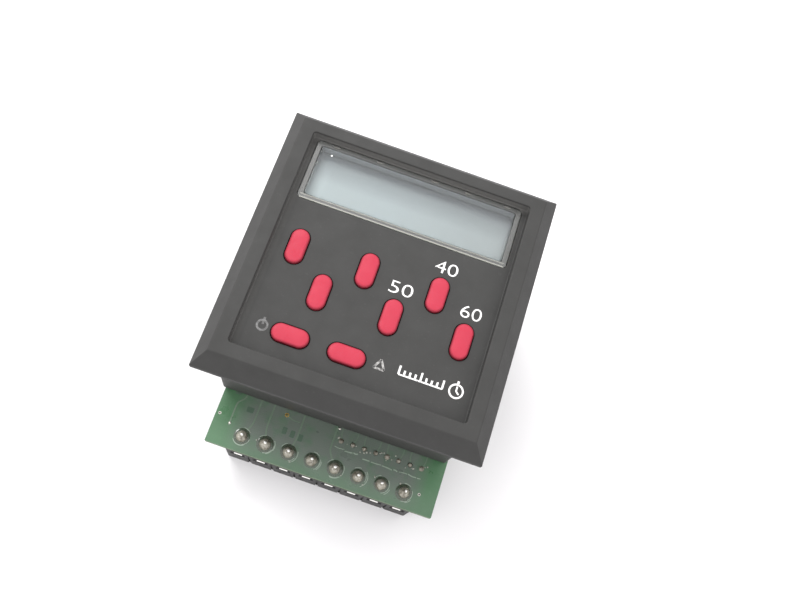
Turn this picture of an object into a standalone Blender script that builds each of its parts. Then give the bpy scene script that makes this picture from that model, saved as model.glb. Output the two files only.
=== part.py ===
"""Panel timer module: square bezel with a display and eight keys, a case and a rear terminal board.

Metres, +Z out of the face, +Y towards the display. The origin is under the middle of the whole
module, on the plane of the terminal block's screw side, which is what the module rests on.
"""
import bpy
import bmesh
from math import radians
from mathutils import Vector

MM = 0.001

# Driving dimensions
BEZEL_SIZE = 56.0 * MM          # widest outline of the square bezel
POLE_PITCH = 5.08 * MM          # terminal block pitch
PIN_PITCH = 2.54 * MM           # pitch of the small rows
POLES = 8
GAP = 0.3 * MM                  # left between pieces that would touch
SOLDER_GAP = 0.1 * MM           # between the board and a solder cone
PAST = 1.0 * MM                 # how far a cutter runs past the face it opens

# Heights above the plane the module rests on
BLOCK_HEIGHT = 10.0 * MM
BOARD_THICKNESS = 1.6 * MM
BOARD_REAR_Z = BLOCK_HEIGHT + GAP
BOARD_FRONT_Z = BOARD_REAR_Z + BOARD_THICKNESS
BOARD_TO_BEZEL = 26.0 * MM      # board front to the bezel's widest outline
OUTLINE_Z = BOARD_FRONT_Z + BOARD_TO_BEZEL
LAND = 1.2 * MM                 # upright edge of the flange
FLANGE_BACK_Z = OUTLINE_Z - LAND
FRAME_RISE = 4.3 * MM
FRAME_TOP_Z = OUTLINE_Z + FRAME_RISE
RECESS_DEPTH = 2.0 * MM
FACE_Z = FRAME_TOP_Z - RECESS_DEPTH
FACE_THICKNESS = 1.2 * MM
FACE_REAR_Z = FACE_Z - FACE_THICKNESS

# The bezel's centre line, so that the origin is under the middle of the whole outline
BOARD_DROP = 8.4 * MM           # how far the rear board passes the bezel's lower edge
FACE_Y = BOARD_DROP / 2

# Case, and the bezel's rear pocket that it enters
CASE_SIZE = 49.6 * MM
CASE_WALL = 1.5 * MM
CASE_CORNER = 0.6 * MM
CASE_ENTRY = 0.6 * MM
POCKET_HALF = CASE_SIZE / 2 + GAP

# Bezel
FRAME_SIZE = 50.4 * MM          # flat front frame, inside the chamfer
RECESS_HALF = 22.5 * MM
RECESS_TOP = 22.9 * MM
EDGE_ROUND = 0.25 * MM

# Window, all relative to the bezel's centre
WINDOW_HALF = 21.45 * MM
WINDOW_LOW = 9.4 * MM
WINDOW_HIGH = 22.7 * MM
WINDOW_RIM = 1.25 * MM
WINDOW_CORNER = 0.9 * MM
WINDOW_FIT = 0.25 * MM
WINDOW_FLANGE = 0.8 * MM        # thickness of the flange that holds it behind the face

# Keys
KEY_WIDTH = 3.85 * MM
KEY_LENGTH = 7.45 * MM
KEY_PITCH = 7.0 * MM            # sideways step from a key to the next
KEY_PROUD = 0.7 * MM
KEY_CLEARANCE = 0.3 * MM
KEY_FLANGE = 0.8 * MM
KEY_FLANGE_THICKNESS = 0.7 * MM
KEY_TRAVEL = 0.8 * MM
KEY_ROUND = 0.45 * MM
DIGIT_KEYS = 6
UPPER_ROW_Y = -0.4 * MM
LOWER_ROW_Y = -7.6 * MM
LEVEL_ROW_Y = -17.3 * MM
ENTER_X = -12.65 * MM
RESET_X = -1.8 * MM

# Four long screws run from behind the rear board into the bezel
SCREW_X = 20.5 * MM
UPPER_SCREW_Y = 5.9 * MM
LOWER_SCREW_Y = -19.2 * MM
BOSS_RADIUS = 1.9 * MM
TUBE_RADIUS = 2.6 * MM
SHANK_RADIUS = 1.1 * MM
BORE_RADIUS = 1.4 * MM

# Front board and display
FRONT_BOARD_TOP_Z = FACE_REAR_Z - 5.6 * MM
FRONT_BOARD_REAR_Z = FRONT_BOARD_TOP_Z - 1.2 * MM
FRONT_BOARD_HALF = 22.4 * MM
GLASS_THICKNESS = 0.9 * MM
SHEET_THICKNESS = 0.3 * MM

# Rear board: it sits slightly towards +X of the bezel's centre line
BOARD_X = 0.5 * MM
BOARD_WIDTH = 49.3 * MM
BOARD_LOW_Y = -BEZEL_SIZE / 2 - BOARD_DROP + FACE_Y
BOARD_HIGH_Y = FACE_Y + CASE_SIZE / 2
PIN_HOLE_RADIUS = 0.85 * MM
LEAD_HOLE_RADIUS = 0.55 * MM

# Terminal block
BLOCK_DEPTH = 7.6 * MM
PIN_FROM_EDGE = 3.2 * MM
PIN_Y = BOARD_LOW_Y + PIN_FROM_EDGE
CLAMP_WIDTH = 3.8 * MM
CLAMP_LENGTH = 4.6 * MM
CLAMP_LOW_Z = 4.7 * MM
CLAMP_HIGH_Z = 9.7 * MM
CLAMP_FLOOR = 0.8 * MM
CLAMP_SIDE = 0.6 * MM
CLAMP_FIT = 0.2 * MM
ENTRY_WIDTH = 3.0 * MM
HEAD_RADIUS = 1.8 * MM
HEAD_LOW_Z = 0.4 * MM
HEAD_THICKNESS = 1.6 * MM
GUARD_WIDTH = 2.0 * MM
GUARD_LENGTH = 3.6 * MM
GUARD_THICKNESS = 0.4 * MM

# Small row of joints beside the terminal pins
NETWORK_Y = BOARD_LOW_Y + 9.0 * MM
NETWORK_X = BOARD_X + 10.9 * MM

# Header between the boards
HEADER_Y = FACE_Y + 14.0 * MM
HEADER_PINS = 8
HEADER_DEPTH = 2.5 * MM

ROUND_SIDES = 14


def clear_scene():
    """Removes whatever the scene holds."""
    for old in list(bpy.data.objects):
        bpy.data.objects.remove(old, do_unlink=True)


clear_scene()
parts = bpy.data.collections.new("panel_timer")
cutters = bpy.data.collections.new("cutters")
for group in (parts, cutters):
    bpy.context.scene.collection.children.link(group)

frame_empty = bpy.data.objects.new("panel_timer_origin", None)
parts.objects.link(frame_empty)


# Shapes ----------------------------------------------------------------------------------------

def add_box(bm, low, high, corner=0.0, corner_steps=3, top_round=0.0):
    """Adds a box; corner rounds its upright edges and top_round its upper rim."""
    low, high = Vector(low), Vector(high)
    verts = bmesh.ops.create_cube(bm, size=1.0)["verts"]
    bmesh.ops.scale(bm, vec=high - low, verts=verts)
    bmesh.ops.translate(bm, vec=(low + high) / 2, verts=verts)
    faces = {face for vert in verts for face in vert.link_faces}
    if corner > 0:
        upright = [edge for edge in {e for f in faces for e in f.edges}
                   if abs(edge.verts[0].co.z - edge.verts[1].co.z) > (high.z - low.z) / 2]
        made = bmesh.ops.bevel(bm, geom=upright, offset=corner, segments=corner_steps,
                               profile=0.5, affect="EDGES")
        faces = {face for face in faces if face.is_valid} | set(made["faces"])
        faces |= {f for face in faces for vert in face.verts for f in vert.link_faces}
    if top_round > 0:
        bm.normal_update()
        rim = [edge for edge in {e for f in faces for e in f.edges}
               if all(abs(v.co.z - high.z) < top_round / 10 for v in edge.verts)
               and any(abs(f.normal.z) < 0.5 for f in edge.link_faces)]
        bmesh.ops.bevel(bm, geom=rim, offset=top_round, segments=2, profile=0.5, affect="EDGES")


def add_centred_box(bm, x, y, size_x, size_y, low_z, high_z, **rounding):
    """Adds a box whose plan is given by its middle and its size."""
    add_box(bm, (x - size_x / 2, y - size_y / 2, low_z), (x + size_x / 2, y + size_y / 2, high_z),
            **rounding)


def add_cylinder(bm, x, y, low_z, high_z, radius, top_radius=None, sides=ROUND_SIDES):
    """Adds an upright cylinder, or a cone when top_radius differs."""
    made = bmesh.ops.create_cone(bm, cap_ends=True, segments=sides, radius1=radius,
                                 radius2=radius if top_radius is None else top_radius,
                                 depth=high_z - low_z)
    bmesh.ops.translate(bm, vec=(x, y, (low_z + high_z) / 2), verts=made["verts"])


def finish(name, mesh, origin, group):
    """Makes the object, with smooth round faces and its origin where it is asked for."""
    mesh.shade_smooth()
    mesh.set_sharp_from_angle(angle=radians(35))
    made = bpy.data.objects.new(name, mesh)
    made.location = origin
    group.objects.link(made)
    if group is parts:
        made.parent = frame_empty
    else:
        made.hide_render = True
        made.display_type = "WIRE"
    return made


def solid(name, build, origin=(0, 0, 0), group=None):
    """Makes one object from a function that adds world-placed shapes to a bmesh."""
    bm = bmesh.new()
    build(bm)
    bmesh.ops.translate(bm, vec=-Vector(origin), verts=bm.verts)
    mesh = bpy.data.meshes.new(name)
    bm.to_mesh(mesh)
    bm.free()
    return finish(name, mesh, origin, group or parts)


def turned(name, profile, origin, group=None, steps=ROUND_SIDES):
    """Turns a profile of (radius, z), listed from top to bottom, about an upright axis."""
    mesh = bpy.data.meshes.new(name)
    points = [(radius, 0, z) for radius, z in profile]
    mesh.from_pydata(points, [(i, i + 1) for i in range(len(points) - 1)], [])
    made = finish(name, mesh, origin, group or parts)
    screw = made.modifiers.new("turn", "SCREW")
    screw.axis = "Z"
    screw.steps = steps
    screw.render_steps = steps
    screw.use_merge_vertices = True
    screw.merge_threshold = 0.00001
    screw.use_smooth_shade = True
    return made


def boolean(target, tool, operation):
    """Cuts or joins one object with another through a Boolean modifier."""
    step = target.modifiers.new(operation.lower() + "_" + tool.name, "BOOLEAN")
    step.operation = operation
    step.solver = "EXACT"
    step.object = tool


def cut(target, name, build):
    """Cuts away the shapes that build adds."""
    boolean(target, solid(name, build, group=cutters), "DIFFERENCE")


def join(target, name, build):
    """Joins on the shapes that build adds."""
    boolean(target, solid(name, build, group=cutters), "UNION")


def paint(target, colour, roughness, metallic=0.0, alpha=1.0):
    """Gives an object its own Principled material."""
    material = bpy.data.materials.new(target.name + "_material")
    material.use_nodes = True
    shader = material.node_tree.nodes["Principled BSDF"]
    shader.inputs["Base Color"].default_value = (*colour, 1)
    shader.inputs["Roughness"].default_value = roughness
    shader.inputs["Metallic"].default_value = metallic
    shader.inputs["Alpha"].default_value = alpha
    target.data.materials.append(material)


BLACK_PLASTIC = (0.030, 0.029, 0.028)
BLOCK_BLACK = (0.020, 0.020, 0.021)
KEY_RED = (0.76, 0.06, 0.11)
BOARD_GREEN = (0.045, 0.22, 0.075)
CLEAR = (0.80, 0.83, 0.84)
PALE_GREY = (0.62, 0.66, 0.67)
CREAM = (0.75, 0.74, 0.68)
SLEEVE_BLUE = (0.03, 0.05, 0.13)
SILICONE = (0.10, 0.10, 0.11)
STEEL = (0.62, 0.61, 0.58)
TIN = (0.66, 0.64, 0.58)
CHIP_BLACK = (0.025, 0.025, 0.027)


# Places that several pieces share ---------------------------------------------------------------

def stack_screws():
    """Where the four long screws run, in world x and y."""
    return [(side * SCREW_X, FACE_Y + y) for y in (UPPER_SCREW_Y, LOWER_SCREW_Y)
            for side in (-1, 1)]


def key_places():
    """Name, world x and y, and whether the key lies level, for every key."""
    places = []
    for index in range(DIGIT_KEYS):
        row_y = UPPER_ROW_Y if index % 2 == 0 else LOWER_ROW_Y
        x = (index - (DIGIT_KEYS - 1) / 2) * KEY_PITCH
        places.append(("digit_key_%d" % (index + 1), x, FACE_Y + row_y, False))
    places.append(("enter_key", ENTER_X, FACE_Y + LEVEL_ROW_Y, True))
    places.append(("reset_key", RESET_X, FACE_Y + LEVEL_ROW_Y, True))
    return places


def row_places(centre, pitch, count):
    """World x of each place in a row about a centre."""
    return [centre + (index - (count - 1) / 2) * pitch for index in range(count)]


POLE_XS = row_places(BOARD_X, POLE_PITCH, POLES)
NETWORK_XS = row_places(NETWORK_X, PIN_PITCH, POLES)


def add_key_shape(bm, x, y, level, low_z, high_z, grow=0.0, top_round=0.0):
    """Adds a key-shaped prism with round ends, grown all round by grow."""
    width, length = KEY_WIDTH + 2 * grow, KEY_LENGTH + 2 * grow
    if level:
        width, length = length, width
    nearly_half = 0.49      # leaves a sliver of straight end, so that the two arcs don't meet
    add_centred_box(bm, x, y, width, length, low_z, high_z,
                    corner=min(width, length) * nearly_half, corner_steps=5, top_round=top_round)


# Front: bezel, window, keys and mat -------------------------------------------------------------

def make_bezel():
    """Front frame with its flange, recessed key face, screw bosses and rear pocket."""
    boss_root = 0.4 * MM            # buried in the face
    pilot_stop = 0.6 * MM           # material left above a pilot hole

    def outline(bm):
        add_centred_box(bm, 0, FACE_Y, BEZEL_SIZE, BEZEL_SIZE, FLANGE_BACK_Z, OUTLINE_Z)
        top = max(bm.faces, key=lambda face: face.calc_center_median().z)
        raised = bmesh.ops.extrude_face_region(bm, geom=[top])["geom"]
        bmesh.ops.delete(bm, geom=[top], context="FACES_ONLY")
        verts = [item for item in raised if isinstance(item, bmesh.types.BMVert)]
        ratio = FRAME_SIZE / BEZEL_SIZE
        bmesh.ops.translate(bm, vec=(0, -FACE_Y, FRAME_RISE), verts=verts)
        bmesh.ops.scale(bm, vec=(ratio, ratio, 1), verts=verts)
        bmesh.ops.translate(bm, vec=(0, FACE_Y, 0), verts=verts)
        bmesh.ops.bevel(bm, geom=list(bm.edges), offset=EDGE_ROUND, segments=1,
                        profile=0.5, affect="EDGES")

    def hollows(bm):
        add_box(bm, (-RECESS_HALF, FACE_Y - RECESS_HALF, FACE_Z),
                (RECESS_HALF, FACE_Y + RECESS_TOP, FRAME_TOP_Z + PAST))
        add_centred_box(bm, 0, FACE_Y, 2 * POCKET_HALF, 2 * POCKET_HALF, FLANGE_BACK_Z - PAST,
                        FACE_REAR_Z)

    def openings(bm):
        add_box(bm, (-WINDOW_HALF, FACE_Y + WINDOW_LOW, FACE_REAR_Z - PAST),
                (WINDOW_HALF, FACE_Y + WINDOW_HIGH, FACE_Z + PAST), corner=WINDOW_CORNER)
        for _, x, y, level in key_places():
            add_key_shape(bm, x, y, level, FACE_REAR_Z - PAST, FACE_Z + PAST, grow=KEY_CLEARANCE)

    def bosses(bm):
        for x, y in stack_screws():
            add_cylinder(bm, x, y, FRONT_BOARD_TOP_Z + GAP, FACE_REAR_Z + boss_root, BOSS_RADIUS)

    def pilots(bm):
        for x, y in stack_screws():
            add_cylinder(bm, x, y, FRONT_BOARD_TOP_Z - PAST, FACE_REAR_Z - pilot_stop, BORE_RADIUS)

    bezel = solid("bezel", outline)
    cut(bezel, "bezel_hollows", hollows)
    cut(bezel, "bezel_openings", openings)
    join(bezel, "bezel_bosses", bosses)
    cut(bezel, "bezel_pilots", pilots)
    paint(bezel, BLACK_PLASTIC, 0.55)


def make_window():
    """Clear window: a flange behind the face, a rim in the opening and a raised pane."""
    flange_top = FACE_REAR_Z - GAP
    flange_side, flange_below, flange_above = 1.1 * MM, 0.6 * MM, 0.1 * MM
    rim_top = FACE_Z - 0.2 * MM
    pane_top = FACE_Z + 0.15 * MM
    buried = 0.2 * MM               # overlap of each tier with the one below
    pane_round = 0.2 * MM

    def flange(bm):
        add_box(bm, (-WINDOW_HALF - flange_side, FACE_Y + WINDOW_LOW - flange_below,
                     flange_top - WINDOW_FLANGE),
                (WINDOW_HALF + flange_side, FACE_Y + WINDOW_HIGH + flange_above, flange_top))

    def tier(bm, inset, low_z, high_z, **rounding):
        add_box(bm, (-WINDOW_HALF + inset, FACE_Y + WINDOW_LOW + inset, low_z),
                (WINDOW_HALF - inset, FACE_Y + WINDOW_HIGH - inset, high_z), **rounding)

    window = solid("window", flange)
    join(window, "window_rim", lambda bm: tier(bm, WINDOW_FIT, flange_top - buried, rim_top,
                                               corner=WINDOW_CORNER - WINDOW_FIT))
    join(window, "window_pane", lambda bm: tier(bm, WINDOW_RIM, rim_top - 2 * buried, pane_top,
                                                top_round=pane_round))
    paint(window, CLEAR, 0.08, alpha=0.25)


def make_keys():
    """Eight red keys, each with a flange that keeps it behind the face."""
    flange_top = FACE_REAR_Z - GAP
    flange_low = flange_top - KEY_FLANGE_THICKNESS
    key_top = FACE_Z + KEY_PROUD

    for name, x, y, level in key_places():
        key = solid(name, lambda bm: add_key_shape(bm, x, y, level, flange_low, flange_top,
                                                   grow=KEY_FLANGE),
                    origin=(x, y, key_top))
        join(key, name + "_cap",
             lambda bm: add_key_shape(bm, x, y, level, (flange_low + flange_top) / 2, key_top,
                                      top_round=KEY_ROUND))
        paint(key, KEY_RED, 0.5)


def make_keypad_mat():
    """Silicone sheet with a dome under each key, drawn at the height of a pressed dome."""
    half = FRONT_BOARD_HALF - 0.1 * MM
    high_y = FACE_Y + 8.7 * MM      # clear of the lower contact strip
    sheet_low = FRONT_BOARD_TOP_Z + GAP
    sheet_top = sheet_low + 0.8 * MM
    key_bottom = FACE_REAR_Z - GAP - KEY_FLANGE_THICKNESS
    dome_top = key_bottom - KEY_TRAVEL - GAP
    dome_radius, dome_top_radius = 2.4 * MM, 1.6 * MM

    def sheet(bm):
        add_box(bm, (-half, FACE_Y - half, sheet_low), (half, high_y, sheet_top))

    def domes(bm):
        for _, x, y, _ in key_places():
            add_cylinder(bm, x, y, (sheet_low + sheet_top) / 2, dome_top, dome_radius,
                         dome_top_radius, sides=10)

    def holes(bm):
        for x, y in stack_screws():
            add_cylinder(bm, x, y, sheet_low - PAST, sheet_top + PAST, BOSS_RADIUS + GAP)

    mat = solid("keypad_mat", sheet)
    join(mat, "keypad_domes", domes)
    cut(mat, "keypad_mat_holes", holes)
    paint(mat, SILICONE, 0.8)


# Front board and display ------------------------------------------------------------------------

def make_display_board():
    """Front circuit board, clamped between the bezel's bosses and the case's tubes."""
    def plate(bm):
        add_centred_box(bm, 0, FACE_Y, 2 * FRONT_BOARD_HALF, 2 * FRONT_BOARD_HALF,
                        FRONT_BOARD_REAR_Z, FRONT_BOARD_TOP_Z)

    def holes(bm):
        for x, y in stack_screws():
            add_cylinder(bm, x, y, FRONT_BOARD_REAR_Z - PAST, FRONT_BOARD_TOP_Z + PAST, BORE_RADIUS)

    board = solid("display_board", plate)
    cut(board, "display_board_holes", holes)
    paint(board, BOARD_GREEN, 0.45)


def make_display():
    """Two glasses, reflector, holder and the two contact strips."""
    glass_top = FACE_REAR_Z - GAP - WINDOW_FLANGE - GAP
    front_low = glass_top - GLASS_THICKNESS
    rear_top = front_low - GAP
    rear_low = rear_top - GLASS_THICKNESS
    sheet_top = rear_low - GAP
    sheet_low = sheet_top - SHEET_THICKNESS
    holder_low = FRONT_BOARD_TOP_Z + GAP
    rear_half, rear_low_y, rear_high_y = 20.6 * MM, 10.7 * MM, 20.6 * MM
    holder_rim = 0.1 * MM           # how far the holder passes the rear glass at its long sides
    strip_half, strip_width = 20.0 * MM, 1.2 * MM

    def plate(name, half_x, low_y, high_y, low_z, high_z):
        return solid(name, lambda bm: add_box(bm, (-half_x, FACE_Y + low_y, low_z),
                                              (half_x, FACE_Y + high_y, high_z)))

    paint(plate("lcd_front_glass", 22.0 * MM, 8.9 * MM, 22.5 * MM, front_low, glass_top),
          PALE_GREY, 0.15, alpha=0.4)
    paint(plate("lcd_rear_glass", rear_half, rear_low_y, rear_high_y, rear_low, rear_top),
          PALE_GREY, 0.15, alpha=0.4)
    paint(plate("lcd_reflector", rear_half, rear_low_y, rear_high_y, sheet_low, sheet_top),
          PALE_GREY, 0.4)

    holder = plate("lcd_holder", 22.2 * MM, rear_low_y - holder_rim, rear_high_y + holder_rim,
                   holder_low, rear_top)
    seat_half = rear_half + GAP
    cut(holder, "lcd_holder_seat",
        lambda bm: add_box(bm, (-seat_half, FACE_Y + rear_low_y - PAST, sheet_low - GAP),
                           (seat_half, FACE_Y + rear_high_y + PAST, rear_top + PAST)))
    paint(holder, CHIP_BLACK, 0.5)

    for name, low_y in (("contact_strip_lower", 9.1 * MM), ("contact_strip_upper", 21.1 * MM)):
        strip = plate(name, strip_half, low_y, low_y + strip_width, holder_low, front_low - GAP)
        paint(strip, SILICONE, 0.7)


def make_front_electronics():
    """Counter chip and crystal on the rear of the front board."""
    top = FRONT_BOARD_REAR_Z - GAP
    chip_size, chip_height, chip_bevel = 16.6 * MM, 3.8 * MM, 1.1 * MM
    crystal_length, crystal_width, crystal_height = 11.0 * MM, 4.6 * MM, 3.5 * MM

    chip = solid("counter_chip",
                 lambda bm: add_centred_box(bm, -6.7 * MM, FACE_Y - 5.7 * MM, chip_size, chip_size,
                                            top - chip_height, top, corner=chip_bevel,
                                            corner_steps=1))
    paint(chip, CHIP_BLACK, 0.45)
    crystal = solid("crystal",
                    lambda bm: add_centred_box(bm, 11.5 * MM, FACE_Y - 5.7 * MM, crystal_length,
                                               crystal_width, top - crystal_height, top,
                                               corner=2.2 * MM))
    paint(crystal, STEEL, 0.3, metallic=1.0)


# Case and the screws that hold the stack --------------------------------------------------------

def make_rear_case():
    """Square case that enters the bezel's pocket, with four screw tubes and a header slot."""
    low, high = BOARD_FRONT_Z + GAP, FLANGE_BACK_Z + CASE_ENTRY
    inner_size = CASE_SIZE - 2 * CASE_WALL
    inner_corner = 0.5 * MM
    slot_length, slot_width = 22.4 * MM, 3.8 * MM

    def shell(bm):
        add_centred_box(bm, 0, FACE_Y, CASE_SIZE, CASE_SIZE, low, high, corner=CASE_CORNER)

    def hollow(bm):
        add_centred_box(bm, 0, FACE_Y, inner_size, inner_size, low + CASE_WALL, high + PAST,
                        corner=inner_corner)

    def tubes(bm):
        for x, y in stack_screws():
            add_cylinder(bm, x, y, low + CASE_WALL / 2, FRONT_BOARD_REAR_Z - GAP, TUBE_RADIUS)

    def holes(bm):
        for x, y in stack_screws():
            add_cylinder(bm, x, y, low - PAST, high + PAST, BORE_RADIUS)
        add_centred_box(bm, 0, HEADER_Y, slot_length, slot_width, low - PAST,
                        low + CASE_WALL + PAST)

    case = solid("rear_case", shell)
    cut(case, "rear_case_hollow", hollow)
    join(case, "rear_case_tubes", tubes)
    cut(case, "rear_case_holes", holes)
    paint(case, BLACK_PLASTIC, 0.6)


def make_case_screws():
    """Four pan-head screws from behind the rear board up into the bezel's bosses."""
    head_radius, head_height = 2.1 * MM, 1.7 * MM
    head_top = BOARD_REAR_Z - GAP
    head_low = head_top - head_height
    tip = FACE_REAR_Z - 1.2 * MM
    point = 0.8 * MM                # length of the tapered tip
    cross_length, cross_width, cross_depth = 2.6 * MM, 0.7 * MM, 0.8 * MM
    profile = [(0, tip), (SHANK_RADIUS * 0.6, tip - 0.1 * MM), (SHANK_RADIUS, tip - point),
               (SHANK_RADIUS, head_top), (head_radius, head_top),
               (head_radius, head_low + 0.7 * MM), (head_radius * 0.8, head_low + 0.15 * MM),
               (head_radius * 0.4, head_low), (0, head_low)]
    local = [(radius, z - head_low) for radius, z in profile]

    for index, (x, y) in enumerate(stack_screws()):
        screw = turned("case_screw_%d" % (index + 1), local, (x, y, head_low), steps=12)
        for side, sizes in (("x", (cross_length, cross_width)), ("y", (cross_width, cross_length))):
            cut(screw, "%s_slot_%s" % (screw.name, side),
                lambda bm: add_centred_box(bm, x, y, *sizes, head_low - PAST,
                                           head_low + cross_depth))
        paint(screw, STEEL, 0.35, metallic=1.0)


# Rear board and what is on it -------------------------------------------------------------------

def make_carrier_board():
    """Green rear board, which closes the case and passes the bezel's lower edge."""
    def plate(bm):
        add_box(bm, (BOARD_X - BOARD_WIDTH / 2, BOARD_LOW_Y, BOARD_REAR_Z),
                (BOARD_X + BOARD_WIDTH / 2, BOARD_HIGH_Y, BOARD_FRONT_Z))

    def holes(bm):
        low, high = BOARD_REAR_Z - PAST, BOARD_FRONT_Z + PAST
        for x, y in stack_screws():
            add_cylinder(bm, x, y, low, high, BORE_RADIUS)
        for x in POLE_XS:
            add_cylinder(bm, x, PIN_Y, low, high, PIN_HOLE_RADIUS, sides=10)
        for x in NETWORK_XS:
            add_cylinder(bm, x, NETWORK_Y, low, high, LEAD_HOLE_RADIUS, sides=8)

    board = solid("carrier_board", plate)
    cut(board, "carrier_board_holes", holes)
    paint(board, BOARD_GREEN, 0.4)


def make_terminal_block():
    """Eight-way housing: a pocket, a wire entry and a screw well for each pole."""
    length = POLES * POLE_PITCH
    pocket_width = CLAMP_WIDTH + 2 * CLAMP_FIT
    pocket_length = CLAMP_LENGTH + 2 * CLAMP_FIT
    entry_high_y = PIN_Y - CLAMP_LENGTH / 2
    well_radius = HEAD_RADIUS + CLAMP_FIT
    notch_width, notch_depth, notch_height = 0.8 * MM, 0.8 * MM, 1.3 * MM

    def body(bm):
        add_centred_box(bm, BOARD_X, BOARD_LOW_Y + BLOCK_DEPTH / 2, length, BLOCK_DEPTH,
                        0, BLOCK_HEIGHT)

    def pockets(bm):
        for x in POLE_XS:
            add_centred_box(bm, x, PIN_Y, pocket_width, pocket_length, CLAMP_LOW_Z - GAP,
                            BLOCK_HEIGHT + PAST)

    def entries(bm):
        for x in POLE_XS:
            add_box(bm, (x - ENTRY_WIDTH / 2, BOARD_LOW_Y - PAST, CLAMP_LOW_Z + CLAMP_FLOOR + GAP),
                    (x + ENTRY_WIDTH / 2, entry_high_y, CLAMP_HIGH_Z - CLAMP_FLOOR))
            add_cylinder(bm, x, PIN_Y, -PAST, CLAMP_LOW_Z + CLAMP_FIT, well_radius)

    def notches(bm):
        for left, right in zip(POLE_XS, POLE_XS[1:]):
            add_box(bm, ((left + right - notch_width) / 2, BOARD_LOW_Y - PAST, -PAST),
                    ((left + right + notch_width) / 2, BOARD_LOW_Y + notch_depth, notch_height))

    block = solid("terminal_block", body)
    cut(block, "terminal_pockets", pockets)
    cut(block, "terminal_entries", entries)
    cut(block, "terminal_notches", notches)
    paint(block, BLOCK_BLACK, 0.5)


def solder_pin_profile():
    """Pin and solder cone, as (radius, z) from the pin's tip down to inside the clamp's roof."""
    solder_low = BOARD_FRONT_Z + SOLDER_GAP
    pin_radius = 0.55 * MM
    pin_end = CLAMP_HIGH_Z - 0.4 * MM
    cone = [(0, 1.75), (0.32, 1.65), (0.45, 1.2), (1.0, 0.85), (1.35, 0.35), (1.45, 0)]
    return ([(radius * MM, solder_low + rise * MM) for radius, rise in cone]
            + [(pin_radius, solder_low), (pin_radius, pin_end), (0, pin_end)])


def make_poles():
    """For each pole a clamp box with its soldered pin, a wire guard and a screw that pushes it."""
    shank_tip = CLAMP_LOW_Z + CLAMP_FLOOR + 0.1 * MM
    guard_low = shank_tip + GAP
    head_top = HEAD_LOW_Z + HEAD_THICKNESS
    head_edge = 0.25 * MM
    slot_length, slot_width, slot_depth = 5.0 * MM, 0.5 * MM, 0.9 * MM
    pin_profile = solder_pin_profile()
    screw_profile = [(0, shank_tip), (SHANK_RADIUS, shank_tip), (SHANK_RADIUS, head_top),
                     (HEAD_RADIUS, head_top), (HEAD_RADIUS, HEAD_LOW_Z + head_edge),
                     (HEAD_RADIUS - head_edge, HEAD_LOW_Z), (0, HEAD_LOW_Z)]
    screw_local = [(radius, z - HEAD_LOW_Z) for radius, z in screw_profile]

    for number, x in enumerate(POLE_XS, start=1):
        def clamp_box(bm):
            add_centred_box(bm, x, PIN_Y, CLAMP_WIDTH, CLAMP_LENGTH, CLAMP_LOW_Z, CLAMP_HIGH_Z)

        def clamp_space(bm):
            add_centred_box(bm, x, PIN_Y, CLAMP_WIDTH - 2 * CLAMP_SIDE, CLAMP_LENGTH + 2 * PAST,
                            CLAMP_LOW_Z + CLAMP_FLOOR, CLAMP_HIGH_Z - CLAMP_FLOOR)

        def shank_hole(bm):
            add_cylinder(bm, x, PIN_Y, CLAMP_LOW_Z - PAST, CLAMP_LOW_Z + CLAMP_FLOOR + CLAMP_FIT,
                         SHANK_RADIUS + GAP, sides=12)

        clamp = solid("wire_clamp_%d" % number, clamp_box)
        cut(clamp, "wire_clamp_space_%d" % number, clamp_space)
        cut(clamp, "wire_clamp_hole_%d" % number, shank_hole)
        pin = turned("solder_pin_%d" % number, pin_profile, (x, PIN_Y, 0), group=cutters, steps=12)
        boolean(clamp, pin, "UNION")
        paint(clamp, TIN, 0.3, metallic=1.0)

        guard = solid("wire_guard_%d" % number,
                      lambda bm: add_centred_box(bm, x, PIN_Y, GUARD_WIDTH, GUARD_LENGTH,
                                                 guard_low, guard_low + GUARD_THICKNESS),
                      origin=(x, PIN_Y, guard_low))
        paint(guard, STEEL, 0.35, metallic=1.0)

        screw = turned("terminal_screw_%d" % number, screw_local, (x, PIN_Y, HEAD_LOW_Z), steps=12)
        cut(screw, "terminal_slot_%d" % number,
            lambda bm: add_centred_box(bm, x, PIN_Y, slot_length, slot_width, HEAD_LOW_Z - PAST,
                                       HEAD_LOW_Z + slot_depth))
        paint(screw, STEEL, 0.35, metallic=1.0)


def make_resistor_network():
    """Single-row resistor network behind the board, its eight leads soldered on the front."""
    body_top = BOARD_REAR_Z - GAP
    body_height, body_width = 4.8 * MM, 2.0 * MM
    solder_low = BOARD_FRONT_Z + SOLDER_GAP
    solder_height, solder_radius, lead_radius = 0.7 * MM, 0.75 * MM, 0.25 * MM

    def body(bm):
        add_centred_box(bm, NETWORK_X, NETWORK_Y, POLES * PIN_PITCH, body_width,
                        body_top - body_height, body_top)

    def leads(bm):
        for x in NETWORK_XS:
            add_cylinder(bm, x, NETWORK_Y, body_top - PAST, solder_low + solder_height / 3,
                         lead_radius, sides=6)

    def joints(bm):
        for x in NETWORK_XS:
            add_cylinder(bm, x, NETWORK_Y, solder_low, solder_low + solder_height, solder_radius,
                         lead_radius, sides=8)

    network = solid("resistor_network", body)
    join(network, "network_leads", leads)
    join(network, "network_joints", joints)
    paint(network, TIN, 0.4)


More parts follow.
